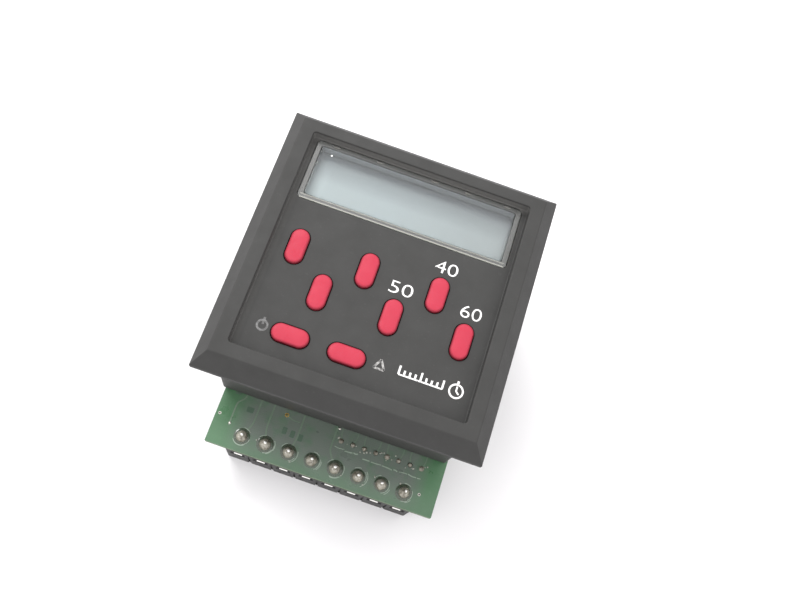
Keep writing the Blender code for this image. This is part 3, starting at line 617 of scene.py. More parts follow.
BLACK = (0.0222, 0.0218, 0.0206)
LOOKS = {
    "bezel": plastic("bezel_black", BLACK, roughness=0.7, grain=0.16, grain_depth=0.010, wear=0.35,
                     dust=0.22, extra=recess_painted_light),
    "case": plastic("case_black", (0.027, 0.0268, 0.025), roughness=0.6, grain=0.22, grain_depth=0.02,
                    wear=0.3, dust=0.2),
    "block": plastic("block_black", (0.014, 0.0135, 0.013), roughness=0.6, grain=0.2,
                     grain_depth=0.012, wear=0.25, dust=0.2),
    "holder": plastic("holder_black", (0.030, 0.030, 0.032), roughness=0.5, wear=0.3),
    "chip": plastic("chip_epoxy_black", (0.024, 0.024, 0.026), roughness=0.5, grain=0.1,
                    grain_depth=0.01, wear=0.4, dust=0.3),
    "relay": plastic("relay_cream", (0.54, 0.53, 0.47), roughness=0.42, grain=0.3, grain_depth=0.006,
                     wear=0.3, dust=0.1, pale=(0.62, 0.61, 0.56)),
    "network": plastic("network_brown", (0.15, 0.062, 0.024), roughness=0.35, grain=0.7,
                       grain_depth=0.05, wear=0.3, dust=0.2),
    "mat": plastic("mat_silicone_grey", (0.10, 0.10, 0.11), roughness=0.75, wear=0.0, dust=0.5),
    "strip": plastic("strip_silicone_grey", (0.18, 0.17, 0.18), roughness=0.7, wear=0.0),
    "sleeve": plastic("sleeve_blue", (0.030, 0.045, 0.12), roughness=0.34, grain=0.6,
                      grain_depth=0.02, wear=0.4, dust=0.15),
    "stripe": plastic("sleeve_stripe", (0.42, 0.43, 0.44), roughness=0.4, wear=0.2, dust=0.3),
    "key": key_red("key_red_satin"),
    "mask": board_mask("mask_green", (0.050, 0.137, 0.060), (0.078, 0.17, 0.09), painted_shade_grey=0.92),
    "inner_mask": board_mask("inner_mask_green", (0.040, 0.16, 0.055), (0.060, 0.21, 0.08)),
    "trace": board_mask("trace_green", (0.120, 0.175, 0.122), (0.19, 0.26, 0.19), weave=0.001),
    "pale_trace": board_mask("trace_pale", (0.26, 0.33, 0.26), (0.42, 0.48, 0.40), weave=0.001),
    "shade": board_mask("shade_green", (0.058, 0.105, 0.068), (0.075, 0.13, 0.085)),
    "laminate": laminate("laminate_edge", (0.075, 0.125, 0.055)),
    "film": screen_film("screen_film"),
    "border": see_through("screen_glass", (0.10, 0.105, 0.11), 0.25, roughness=0.1),
    "glass": see_through("rear_glass", (0.25, 0.27, 0.27), 0.6),
    "reflector": screen_film("reflector_film"),
    "pane": see_through("pane_clear", (0.30, 0.31, 0.31), 0.92, roughness=0.05),
    "rim": see_through("rim_milky", (0.135, 0.137, 0.131), 0.42, roughness=0.3),
    # pale ridges along the window's foot: painted highlight
    "sill": see_through("sill_painted_highlight", (0.62, 0.61, 0.54), 0.62, roughness=0.25),
    "nib": see_through("nib_clear", (0.24, 0.235, 0.215), 0.4, roughness=0.35),
    # dark ring round the pane: painted shade
    "painted_shade_ring": plastic("painted_shade_ring_look", (0.016, 0.017, 0.017), roughness=0.5, wear=0.0, dust=0.1),
    "solder": solder("solder_dull", upper=0.5),
    "small_solder": solder("solder_small"),
    "flux": flux("flux_brown"),
    # pale beads: painted glints round the joints
    "bead": board_mask("bead_painted_glint", (0.30, 0.31, 0.26), (0.62, 0.62, 0.57), weave=0.001),
    "gold": metal("gold_plate", (0.72, 0.50, 0.16), roughness=0.3),
    "tin": metal("tin_plate", (0.60, 0.58, 0.53), roughness=0.32),
    "steel": metal("zinc_plate", (0.58, 0.57, 0.55), roughness=0.32, stretch=(1, 6, 1)),
    "bright": metal("spring_plate", (0.86, 0.85, 0.82), roughness=0.42, tarnish=0.15),
    "can": metal("crystal_plate", (0.60, 0.59, 0.57), roughness=0.28),
    "speck": white_print("speck_white", worn=0.0, colour=(0.90, 0.90, 0.89)),
    "print": white_print("print_white", worn=0.12),
    "worn_print": white_print("print_worn", worn=0.62, colour=(0.36, 0.35, 0.34)),
    "faint_print": white_print("print_faint", worn=0.66, colour=(0.15, 0.15, 0.15)),
}


# Camera, light and floor ------------------------------------------------------------------------

def make_camera():
    """A steep look down at the face, turned about the line of sight."""
    azimuth, elevation, roll = radians(-1.99), radians(69.89), radians(21.14)
    aim = Vector((4.151, 1.301, 37.9)) * MM
    distance = 160.17 * MM
    turn = (Matrix.Rotation(azimuth, 3, "Z") @ Matrix.Rotation(pi / 2 - elevation, 3, "X")
            @ Matrix.Rotation(roll, 3, "Z"))
    data = bpy.data.cameras.new("view")
    data.lens = 37.85
    data.sensor_width = 36.0
    data.clip_start = 0.005
    data.clip_end = 20
    camera = placed("view", data)
    camera.matrix_world = Matrix.Translation(aim + turn @ Vector((0, 0, distance))) @ turn.to_4x4()
    bpy.context.scene.camera = camera


def add_area_light(name, azimuth, elevation, distance, width, height, power):
    """Adds a light that looks at the module: degrees, metres and watts; azimuth 90 is on +X."""
    azimuth, elevation = radians(azimuth), radians(elevation)
    middle = Vector((0, 0, (TOP_Z / 2) * MM))
    away = Vector((sin(azimuth) * cos(elevation), cos(azimuth) * cos(elevation), sin(elevation)))
    data = bpy.data.lights.new(name, "AREA")
    data.shape = "RECTANGLE"
    data.size = width
    data.size_y = height
    data.energy = power
    light = placed(name, data)
    light.location = middle + away * distance
    light.rotation_euler = away.to_track_quat("Z", "Y").to_euler()


def make_light():
    """Bright even surroundings and one large soft light from the upper left."""
    world = bpy.data.worlds.new("surroundings")
    world.use_nodes = True
    sky = world.node_tree.nodes["Background"]
    sky.inputs["Color"].default_value = (1.0, 0.995, 1.0, 1)
    sky.inputs["Strength"].default_value = 1.62
    bpy.context.scene.world = world
    add_area_light("key_light", azimuth=-40, elevation=47, distance=0.6, width=0.42, height=0.22,
                   power=2.95)
    bpy.context.scene.view_settings.view_transform = "Standard"


def make_floor():
    """A wide pale floor under the rest plane."""
    look = Look("floor_pale", (0.738, 0.728, 0.736), 0.8)
    look.clouds(60, 3, 0.3, 0.7, (0.722, 0.712, 0.722), 0.6)
    look.bump(look.noise(0.8, 3), 0.01)
    half_side = 1500.0
    bm = bmesh.new()
    bmesh.ops.create_grid(bm, x_segments=2, y_segments=2, size=half_side * MM)
    mesh = bpy.data.meshes.new("floor")
    bm.to_mesh(mesh)
    bm.free()
    mesh.materials.append(look.material)
    placed("floor", mesh)


# Front ------------------------------------------------------------------------------------------

def key_boxes():
    """Each key's name with the plan of its cap, inside its flange."""
    boxes = []
    inset = Vector((KEY_INSET, KEY_INSET, 0))
    for name in KEYS:
        low, high = box_mm(name)
        low.x += KEY_FLANGE
        low.y += KEY_FLANGE
        high.x -= KEY_FLANGE
        high.y -= KEY_FLANGE
        boxes.append((name, low + inset, high - inset))
    return boxes


def lozenge(bm, low, high, profile, grow=0.0):
    """Adds a shape with round ends in plan."""
    low = (low[0] - grow, low[1] - grow)
    high = (high[0] + grow, high[1] + grow)
    radius = min(high[0] - low[0], high[1] - low[1]) / 2
    loft(bm, low, high, profile, corner=radius, steps=9)


def make_bezel():
    """Mitred frame, recessed face with its openings, rear pocket and screw bosses."""
    corner, soft, flare = 0.18, 0.22, 0.22
    slope = Vector((CHAMFER_IN, FRAME_RISE)).normalized() * soft
    foot_round = 0.25
    boss_radius, boss_sunk, bore_short = 1.9, 0.4, 0.6

    def outline(bm):
        profile = ([(0.1, FLANGE_BACK_Z), (0.0, FLANGE_BACK_Z + 0.1), (0.0, OUTLINE_Z - soft)]
                   + [(slope.x * 0.35, OUTLINE_Z + slope.y * 0.25), (slope.x, OUTLINE_Z + slope.y)]
                   + [(CHAMFER_IN - slope.x, TOP_Z - slope.y), (CHAMFER_IN, TOP_Z - 0.07),
                      (CHAMFER_IN + soft, TOP_Z)])
        loft(bm, BEZEL_LOW, BEZEL_HIGH, profile, corner=corner, keep_corner=True)

    def recess(bm):
        low = (-RECESS_HALF, FACE_Y - RECESS_HALF)
        high = (RECESS_HALF, FACE_Y + RECESS_TOP)
        foot = quarter((foot_round, FACE_Z), (foot_round, FACE_Z + foot_round),
                       (0, FACE_Z + foot_round), CURVE_STEPS)
        loft(bm, low, high, foot + opening_profile(FACE_Z, TOP_Z, flare)[1:], corner=0.6)

    def pocket(bm):
        block(bm, (-POCKET_HALF, FACE_Y - POCKET_HALF, FLANGE_BACK_Z - PAST),
              (POCKET_HALF, FACE_Y + POCKET_HALF, FACE_REAR_Z), rounding=0.3, corner=1.0)

    def openings(bm):
        profile = opening_profile(FACE_REAR_Z - PAST, FACE_Z, 0.1)
        loft(bm, (-WINDOW_HALF, FACE_Y + WINDOW_BOTTOM), (WINDOW_HALF, FACE_Y + WINDOW_TOP), profile,
             corner=0.9)
        for _, low, high in key_boxes():
            lozenge(bm, low, high, opening_profile(FACE_REAR_Z - PAST, FACE_Z, 0.12),
                    grow=KEY_CLEARANCE)

    def bosses(bm):
        for x, y in SCREW_PLACES:
            rod(bm, x, y, boss_radius, BEZEL_LOW.z, FACE_REAR_Z + boss_sunk)

    def pilots(bm):
        for x, y in SCREW_PLACES:
            rod(bm, x, y, SCREW_HOLE, BEZEL_LOW.z - PAST, FACE_REAR_Z - bore_short)

    piece("bezel_frame", outline, LOOKS["bezel"], replaces=["bezel"],
          steps=[(CUT, recess), (CUT, pocket), (CUT, openings), (JOIN, bosses), (CUT, pilots)])


def make_window():
    """Milky rim, clear raised pane, a dark ring of painted shade round the pane, nibs along the top and
    pale sills along the foot as painted highlights.
    """
    rim_top, pane_top = FACE_Z - 0.06, WINDOW_HIGH.z
    fit = 0.07
    flange_low, flange_top = WINDOW_LOW.z, FACE_REAR_Z - 0.3
    low = Vector((-WINDOW_HALF + fit, FACE_Y + WINDOW_BOTTOM + fit))
    high = Vector((WINDOW_HALF - fit, FACE_Y + WINDOW_TOP - fit))
    pane_low = Vector((-WINDOW_HALF + WINDOW_RIM, FACE_Y + WINDOW_BOTTOM + WINDOW_RIM))
    pane_high = Vector((WINDOW_HALF - WINDOW_RIM, FACE_Y + WINDOW_TOP - WINDOW_RIM))
    line, seam = 0.10, 0.02         # the slot round the pane, and the gap on each side of the dark ring in it

    def flange(bm):
        block(bm, WINDOW_LOW.to_tuple()[:2] + (flange_low,), WINDOW_HIGH.to_tuple()[:2] + (flange_top,),
              rounding=0.1)

    def rim(bm):
        loft(bm, low, high, block_profile(flange_top - 0.2, rim_top, 0, 0.18), corner=0.65)

    def hole(bm):
        grown = Vector((line, line))
        loft(bm, pane_low - grown, pane_high + grown,
             opening_profile(flange_low - PAST, rim_top, 0.12), corner=0.4)

    def pane(bm):
        loft(bm, pane_low, pane_high, block_profile(flange_low, pane_top, 0.05, 0.2), corner=0.4)

    # painted shade: a dark ring sunk in the slot, standing for the shade of the pane's step
    def painted_shade_ring(bm):
        grown = Vector((line - seam, line - seam))
        loft(bm, pane_low - grown, pane_high + grown,
             block_profile(flange_low + 0.05, rim_top - 0.35, 0, 0), corner=0.4)

    def painted_shade_ring_hole(bm):
        grown = Vector((seam, seam))
        loft(bm, pane_low - grown, pane_high + grown,
             block_profile(flange_low - PAST, rim_top + PAST, 0, 0), corner=0.4)

    piece("window_rim", flange, LOOKS["rim"], replaces=["window"],
          steps=[(JOIN, rim), (CUT, hole)])
    piece("window_pane", pane, LOOKS["pane"])
    piece("window_painted_shade_ring", painted_shade_ring, LOOKS["painted_shade_ring"], steps=[(CUT, painted_shade_ring_hole)])

    nib_xs, nib_y = (-17.4, -8.4, 3.0, 10.1, 18.3), FACE_Y + 22.2
    nib_half, nib_depth = 0.7, 0.2

    def nibs(bm):
        for x in nib_xs:
            block(bm, (x - nib_half, nib_y - nib_depth, rim_top - 0.15),
                  (x + nib_half, nib_y + nib_depth * 0.6, rim_top + 0.16), rounding=0.1)

    def sills(bm):
        """Two fine moulded ridges along the lower side, pale as a painted highlight of the rim's lit
        edges.
        """
        for y, thick in ((low.y + 0.17, 0.13), (pane_low.y - 0.30, 0.09)):
            block(bm, (low.x + 0.5, y - thick, rim_top - 0.1),
                  (high.x - 0.5, y + thick, rim_top + 0.07), rounding=0.06)

    piece("window_nibs", nibs, LOOKS["nib"])
    # pale ridges: painted highlight along the window's lower edge
    piece("window_sills", sills, LOOKS["sill"])


def make_display():
    """Display glass with a darker border, its polariser film and one speck on the pane."""
    film_thickness = 0.1
    film_low = Vector((-21.3, FACE_Y + 9.9))
    film_high = Vector((21.3, FACE_Y + 22.0))
    glass_top = GLASS_HIGH.z - film_thickness

    def glass(bm):
        block(bm, GLASS_LOW, (GLASS_HIGH.x, GLASS_HIGH.y, glass_top), rounding=0.06)

    def film(bm):
        loft(bm, film_low, film_high,
             block_profile(glass_top + 0.005, GLASS_HIGH.z, 0, 0.03), corner=0.2)

    def speck(bm):
        x, y, z, radius = -17.8, FACE_Y + 20.0, WINDOW_HIGH.z, 0.2
        lathe(bm, [(radius, z), (radius * 0.8, z + 0.08), (radius * 0.2, z + 0.13)], x, y, steps=10)

    piece("screen_glass", glass, LOOKS["border"], replaces=["lcd_front_glass"])
    piece("screen_film", film, LOOKS["film"])
    piece("screen_speck", speck, LOOKS["speck"])


def make_keys():
    """Eight keys with a crowned, rounded cap and a flange behind the face, each on its own body."""
    rim, crown, crown_steps = 0.55, 0.07, 4
    crown_end = 0.92                # share of the way in at which the crown's last ring lies
    flange_top = FACE_REAR_Z - 0.3
    flange_low = flange_top - KEY_FLANGE_THICKNESS
    for name, low, high in key_boxes():
        top = high.z
        half = min(high.x - low.x, high.y - low.y) / 2

        def cap(bm):
            shoulder = quarter((0, top - rim - crown), (rim, top - rim - crown), (rim, top - crown), 5)
            over = []
            for step in range(1, crown_steps + 1):
                inset = rim + (half - rim) * crown_end * step / crown_steps
                share = (inset - rim) / (half - rim)
                over.append((inset, top - crown * (1 - share) ** 2))
            lozenge(bm, low, high, [(0, flange_low + 0.2)] + shoulder + over)

        def flange(bm):
            lozenge(bm, low, high, block_profile(flange_low, flange_top, 0.12, 0.12), grow=KEY_FLANGE)

        piece(name + "_cap", flange, LOOKS["key"], body=name, replaces=[name],
              steps=[(JOIN, cap)], sharp=50)


# Printing ---------------------------------------------------------------------------------------

PRINT_LOW_Z = FACE_Z - 0.01
PRINT_HIGH_Z = FACE_Z + 0.025


def add_number(name, text, centre, size, look):
    """Adds a printed number as a thin mesh that fits a box about its centre."""
    curve = bpy.data.curves.new(name, "FONT")
    curve.body = text
    curve.size = 1.0
    curve.offset = -0.008
    curve.extrude = 0.01
    curve.resolution_u = 6
    source = placed(name + "_source", curve)
    graph = bpy.context.evaluated_depsgraph_get()
    mesh = bpy.data.meshes.new_from_object(source.evaluated_get(graph))
    bpy.data.objects.remove(source)
    low = Vector([min(v.co[axis] for v in mesh.vertices) for axis in range(3)])
    high = Vector([max(v.co[axis] for v in mesh.vertices) for axis in range(3)])
    span = high - low
    middle = (high + low) / 2
    fit = Matrix.Diagonal((size[0] / span.x, size[1] / span.y,
                           (PRINT_HIGH_Z - PRINT_LOW_Z) / span.z)).to_4x4()
    place = Matrix.Translation((centre[0], FACE_Y + centre[1], (PRINT_LOW_Z + PRINT_HIGH_Z) / 2))
    mesh.transform(Matrix.Scale(MM, 4) @ place @ fit @ Matrix.Translation(-middle))
    mesh.name = name
    made = placed(name, mesh)
    give_look(made, look)
    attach(made, MODULE)


def make_prints():
    """Plain numbers beside three keys, worn symbols by the level keys and a generic tick scale."""
    digit_height = 2.5
    for name, text, x, y, width in (("print_40", "40", 10.65, 5.45, 4.5),
                                    ("print_50", "50", 3.7, -1.57, 4.6),
                                    ("print_60", "60", 17.65, -1.57, 4.1)):
        add_number(name, text, (x, y), (width, digit_height), LOOKS["print"])

    line = 0.42
    over = PRINT_HIGH_Z + 0.002     # a mark that crosses another is a little thicker

    def worn_ring(bm):
        x, y = -18.1, FACE_Y - 17.1
        washer(bm, x, y, 0.75, 1.15, PRINT_LOW_Z, PRINT_HIGH_Z)
        ribbon(bm, [(x, y + 0.2), (x, y + 1.6)], line, PRINT_LOW_Z, over)

    def worn_triangle(bm):
        x, y, reach = 4.5, FACE_Y - 17.1, 1.2
        corners = arc(x, y, reach, 90, 450, 3)
        for start, end in zip(corners, corners[1:]):
            ribbon(bm, [start, end], line, PRINT_LOW_Z, PRINT_HIGH_Z)

    def scale(bm):
        left, right, y = 8.2, 16.6, FACE_Y - 17.4
        ribbon(bm, [(left, y), (right, y)], 0.28, PRINT_LOW_Z, PRINT_HIGH_Z)
        ticks = 8
        for index in range(ticks + 1):
            x = left + (right - left) * index / ticks
            tall = 1.7 if index % 4 == 0 else 1.0
            ribbon(bm, [(x, y), (x, y + tall)], 0.38, PRINT_LOW_Z, over)

    def clock(bm):
        x, y, radius = 19.2, FACE_Y - 16.9, 1.45
        washer(bm, x, y, radius - 0.34, radius, PRINT_LOW_Z, PRINT_HIGH_Z)
        ribbon(bm, bent([(x, y + 0.95), (x, y), (x + 0.6, y - 0.5)], 0.1), 0.3, PRINT_LOW_Z,
               PRINT_HIGH_Z)
        ribbon(bm, [(x, y + radius - 0.05), (x, y + radius + 0.5)], 0.42, PRINT_LOW_Z, PRINT_HIGH_Z)

    piece("print_ring", worn_ring, LOOKS["faint_print"])
    piece("print_triangle", worn_triangle, LOOKS["worn_print"])
    piece("print_scale", scale, LOOKS["print"])
    piece("print_clock", clock, LOOKS["print"])


# Case and screws --------------------------------------------------------------------------------

def make_case():
    """Square case with soft edges, a moulding step near its flange end and four screw tubes."""
    low, high = CASE_LOW, CASE_HIGH
    wall, tube, edge = 1.5, 2.6, 0.3
    step_down, step_in = 3.2, 0.12
    tube_top = box_mm("display_board")[0].z - 0.3
    header_low, header_high = box_mm("header_pins")
    slot_margin = 0.65

    def shell(bm):
        step_z = high.z - step_down
        profile = (quarter((edge, low.z), (edge, low.z + edge), (0, low.z + edge), CURVE_STEPS)
                   + [(0, step_z), (step_in, step_z + step_in), (step_in, high.z)])
        loft(bm, low, high, profile, corner=0.6, steps=6)

    def hollow(bm):
        loft(bm, (low.x + wall, low.y + wall), (high.x - wall, high.y - wall),
             block_profile(low.z + wall, high.z + PAST, edge, 0), corner=0.5)

    def tubes(bm):
        for x, y in SCREW_PLACES:
            lathe(bm, [(tube, low.z + wall / 2), (tube, tube_top - 0.1), (tube - 0.1, tube_top)], x, y)

    def holes(bm):
        for x, y in SCREW_PLACES:
            rod(bm, x, y, SCREW_HOLE, low.z - PAST, high.z + PAST, steps=24)
        block(bm, (header_low.x - slot_margin, header_low.y - slot_margin, low.z - PAST),
              (header_high.x + slot_margin, header_high.y + slot_margin, low.z + wall + PAST),
              rounding=0.3)

    piece("case_shell", shell, LOOKS["case"], replaces=["rear_case"],
          steps=[(CUT, hollow), (JOIN, tubes), (CUT, holes)])


def make_case_screws():
    """Four long pan-head screws with a cross recess."""
    shank, dome_rise, head_rise = 1.1, 1.1, 1.7
    long, narrow, deep = 1.3, 0.33, 0.9         # half sizes and depth of the cross recess
    for number in CASE_SCREWS:
        node = "case_screw_%d" % number
        low, high = box_mm(node)
        x, y = middle_of(node)
        head = (high.x - low.x) / 2

        def body(bm):
            dome = quarter((head * 0.45, low.z), (head * 0.45, low.z + dome_rise),
                           (head, low.z + dome_rise), 6)
            lathe(bm, dome + [(head, low.z + head_rise), (shank, low.z + head_rise),
                              (shank, high.z - 0.8), (shank * 0.5, high.z)], x, y, steps=40)

        def recess(half_x, half_y):
            return lambda bm: loft(bm, (x - half_x, y - half_y), (x + half_x, y + half_y),
                                   [(0, low.z - PAST), (0, low.z), (0.12, low.z + deep)], corner=0.12)

        piece(node + "_turned", body, LOOKS["steel"], replaces=[node],
              steps=[(CUT, recess(long, narrow)), (CUT, recess(narrow, long))])


# Rear board -------------------------------------------------------------------------------------

def above_edge(x, height):
    """A place on the board from its x and its height above the board's lower edge."""
    return (x, BOARD_LOW.y + height)


OPEN_HOLES = [above_edge(-23.3, 6.3), above_edge(21.4, 3.8)]
FILLED_VIAS = [above_edge(20.5, 9.0), above_edge(1.35, 11.4), above_edge(-20.6, 5.0)]
GOLD_VIAS = [above_edge(-10.05, 10.4), above_edge(-10.3, 13.2)]


def make_board():
    """Laminate plate between two skins of green solder mask, with its holes."""
    mask, rim, inset = 0.06, 0.02, 0.03     # a skin's thickness, and the height and inset of its edge
    hole_kinds = ((SCREW_PLACES, SCREW_HOLE, 24), ([(x, PIN_Y) for x in POLE_XS], 0.85, 16),
                  ([(x, NETWORK_Y) for x in NETWORK_XS], 0.55, 12), (OPEN_HOLES, 0.18, 12),
                  (GOLD_VIAS, 0.22, 12))
    core = [(0, BOARD_REAR_Z + mask), (0, BOARD_TOP_Z - mask)]
    front = [(0, BOARD_TOP_Z - mask), (0, BOARD_TOP_Z - rim), (inset, BOARD_TOP_Z)]
    rear = [(inset, BOARD_REAR_Z), (0, BOARD_REAR_Z + rim), (0, BOARD_REAR_Z + mask)]

    def holes(bm):
        for places, radius, steps in hole_kinds:
            for x, y in places:
                rod(bm, x, y, radius, BOARD_REAR_Z - PAST, BOARD_TOP_Z + PAST, steps)

    for name, profile, look, replaced in (("board_core", core, "laminate", ["carrier_board"]),
                                          ("board_mask_front", front, "mask", []),
                                          ("board_mask_rear", rear, "mask", [])):
        def layer(bm):
            loft(bm, BOARD_LOW, BOARD_HIGH, profile, corner=0.1)

        piece(name, layer, LOOKS[look], replaces=replaced,
              steps=[(CUT, holes)])


def make_board_front_marks():
    """Traces, dried flux, beads, darker patches, plated holes and flux round the joints."""
    low, high = BOARD_TOP_Z - 0.02, BOARD_TOP_Z + 0.035
    case_edge = CASE_LOW.y - BOARD_LOW.y + 3.0      # a height above the edge that the case covers

    def pale_lines(bm):
        """Edges of dried flux beside the joints, and two lines beside the small row.

        Those that can cross lie at slightly different heights.
        """
        chance = random.Random(3)
        for x in POLE_XS:
            for layer in range(3):
                start = -150 + 130 * chance.random()
                sweep = 35 + 50 * chance.random()
                radius = 1.72 + 0.45 * chance.random()
                ribbon(bm, arc(x, PIN_Y, radius, start, start + sweep, 9), 0.15, low,
                       high + 0.05 - 0.004 * layer)
            start = 25 + 100 * chance.random()
            ribbon(bm, arc(x, PIN_Y, 1.85, start, start + 45, 7), 0.13, low, high + 0.036)
        for rise, start, end in ((7.4, NETWORK_XS[0] - 1.0, NETWORK_XS[2] - 0.6),
                                 (6.9, NETWORK_XS[2] + 0.3, NETWORK_XS[7] + 0.4)):
            x = start
            while x < end - 0.6:
                length = min(0.9 + 1.4 * chance.random(), end - x)
                wander = [rise + 0.32 * (chance.random() - 0.5) for _ in range(3)]
                ribbon(bm, bent([above_edge(x, wander[0]), above_edge(x + length / 2, wander[1]),
                                 above_edge(x + length, wander[2])], 0.4),
                       0.14 + 0.1 * chance.random(), low, high + 0.02)
                x += length + 0.12 + 0.3 * chance.random()

    def beads(bm):
        """Small beads of flux and solder scattered about the joints, pale as painted glints."""
        chance = random.Random(21)
        places = [(x + 2.4 * (chance.random() - 0.5), NETWORK_Y + 1.9 * (chance.random() - 0.5))
                  for x in NETWORK_XS for _ in range(3)]
        for x in POLE_XS:
            angle = 2 * pi * chance.random()
            places.append((x + 1.95 * cos(angle), PIN_Y + 1.95 * sin(angle)))
        for x, y in places:
            radius = 0.10 + 0.12 * chance.random()
            lathe(bm, [(radius, low), (radius * 0.9, high + radius * 0.4),
                       (radius * 0.4, high + radius * 0.75)], x, y, steps=10)

    def traces(bm):
        broad, thin = 0.34, 0.22
        # from some large joints up under the case
        for index, side in ((0, 1.3), (1, -0.9), (2, 0.7), (4, -2.2)):
            x = POLE_XS[index]
            ribbon(bm, bent([above_edge(x, 3.2), above_edge(x + side, 6.4),
                             above_edge(x + side, case_edge)], 0.8), broad, low, high)
        # from the small row up under the case
        for index, x in enumerate(NETWORK_XS):
            lean = 0.5 if index % 2 else -0.4
            ribbon(bm, bent([(x, NETWORK_Y), (x + lean, NETWORK_Y + 1.6),
                             (x + lean, BOARD_LOW.y + case_edge)], 0.5), thin, low, high)
        # along the left margin
        outer, inner = POLE_XS[0] - 3.4, POLE_XS[0] - 2.0
        ribbon(bm, bent([above_edge(outer, 4.5), above_edge(outer, 9.5), above_edge(inner, 11.0),
                         above_edge(inner, case_edge)], 0.6), 0.3, low, high)
        # from the first gold via
        x, y = GOLD_VIAS[0]
        ribbon(bm, bent([(x, y), (x + 1.6, y - 0.6), (x + 3.0, y - 0.6)], 0.5), thin, low, high)

    def patches(bm):
        top = BOARD_TOP_Z + 0.012
        for x, height, length, width in ((-17.6, 8.9, 1.5, 1.2), (-9.4, 7.2, 1.0, 1.5),
                                         (-7.6, 7.0, 1.0, 1.5), (-5.8, 6.8, 1.0, 1.5),
                                         (-21.2, 12.0, 1.3, 1.6)):
            slab(bm, *above_edge(x, height), length / 2, width / 2, low, top, 0.01, corner=0.2)

    def vias(bm):
        for x, y in GOLD_VIAS:
            washer(bm, x, y, 0.2, 0.46, low, high + 0.01)

    def tinned(bm):
        for x, y in OPEN_HOLES:
            washer(bm, x, y, 0.16, 0.31, low, high)
        for x, y in FILLED_VIAS:
            lathe(bm, [(0.26, low), (0.26, high), (0.18, high + 0.06), (0.06, high + 0.09)], x, y,
                  steps=16)

    def flux_rings(bm):
        chance = random.Random(11)
        for x in POLE_XS:
            reach = 1.6 + 0.25 * chance.random()
            shift = (chance.random() - 0.5) * 0.25
            lathe(bm, [(reach, BOARD_TOP_Z - 0.01), (reach - 0.08, BOARD_TOP_Z + 0.045),
                       (1.15, BOARD_TOP_Z + 0.07)], x + shift, PIN_Y + shift * 0.6, steps=28)

    piece("board_traces", traces, LOOKS["trace"])
    piece("board_pale_lines", pale_lines, LOOKS["pale_trace"])
    piece("board_beads", beads, LOOKS["bead"])
    piece("board_patches", patches, LOOKS["shade"])
    piece("board_vias", vias, LOOKS["gold"])
    piece("board_hole_rings", tinned, LOOKS["tin"])
    piece("board_flux", flux_rings, LOOKS["flux"])


def make_board_rear_marks():
    """Traces and pads on the rear, round the parts that stand there."""
    low, high = BOARD_REAR_Z - 0.035, BOARD_REAR_Z + 0.02
    relay_low, relay_high = box_mm("relay")
    broad, thin = 0.5, 0.3
    via_y = NETWORK_Y + 2.5
    via_xs = [x - 0.45 for x in NETWORK_XS]
    supply_vias = [(12.6 + 1.5 * index, -3.0 - 1.2 * index) for index in range(3)]
    line_pitch = 3.1
    outer_pin, inner_pin = 1.6, 6.7             # from the relay's ends

    def traces(bm):
        for index, x in enumerate(POLE_XS):
            turn_y = -14.0 + 1.3 * index
            end_x = -12.0 + line_pitch * index
            ribbon(bm, bent([(x, BLOCK_HIGH.y - 0.5), (x, -21.0), (end_x, turn_y), (end_x, 12.2)], 1.2),
                   broad, low, high)
        for x in via_xs:
            ribbon(bm, [(x, NETWORK_Y + 1.0), (x, via_y - 0.45)], thin, low, high)
        for x, y in supply_vias:
            ribbon(bm, bent([(x, y + 0.6), (x, 4.0), (x + 1.4, 8.0)], 1.2), broad, low, high)

    def pads(bm):
        """Rings at the relay's pins, a staggered row between the lines, and both rows of vias."""
        for x in (relay_low.x + outer_pin, relay_low.x + inner_pin, relay_high.x - inner_pin,
                  relay_high.x - outer_pin):
            washer(bm, x, relay_low.y - 1.3, 0.45, 1.0, low, high)
        for index in range(8):
            washer(bm, -13.0 + line_pitch * index, 10.4 - 0.9 * (index % 3), 0.3, 0.65, low, high)
        for x in via_xs:
            washer(bm, x, via_y, 0.2, 0.42, low, high)
        for x, y in supply_vias:
            washer(bm, x, y, 0.3, 0.62, low, high)

    piece("rear_traces", traces, LOOKS["trace"])
    piece("rear_pads", pads, LOOKS["tin"])


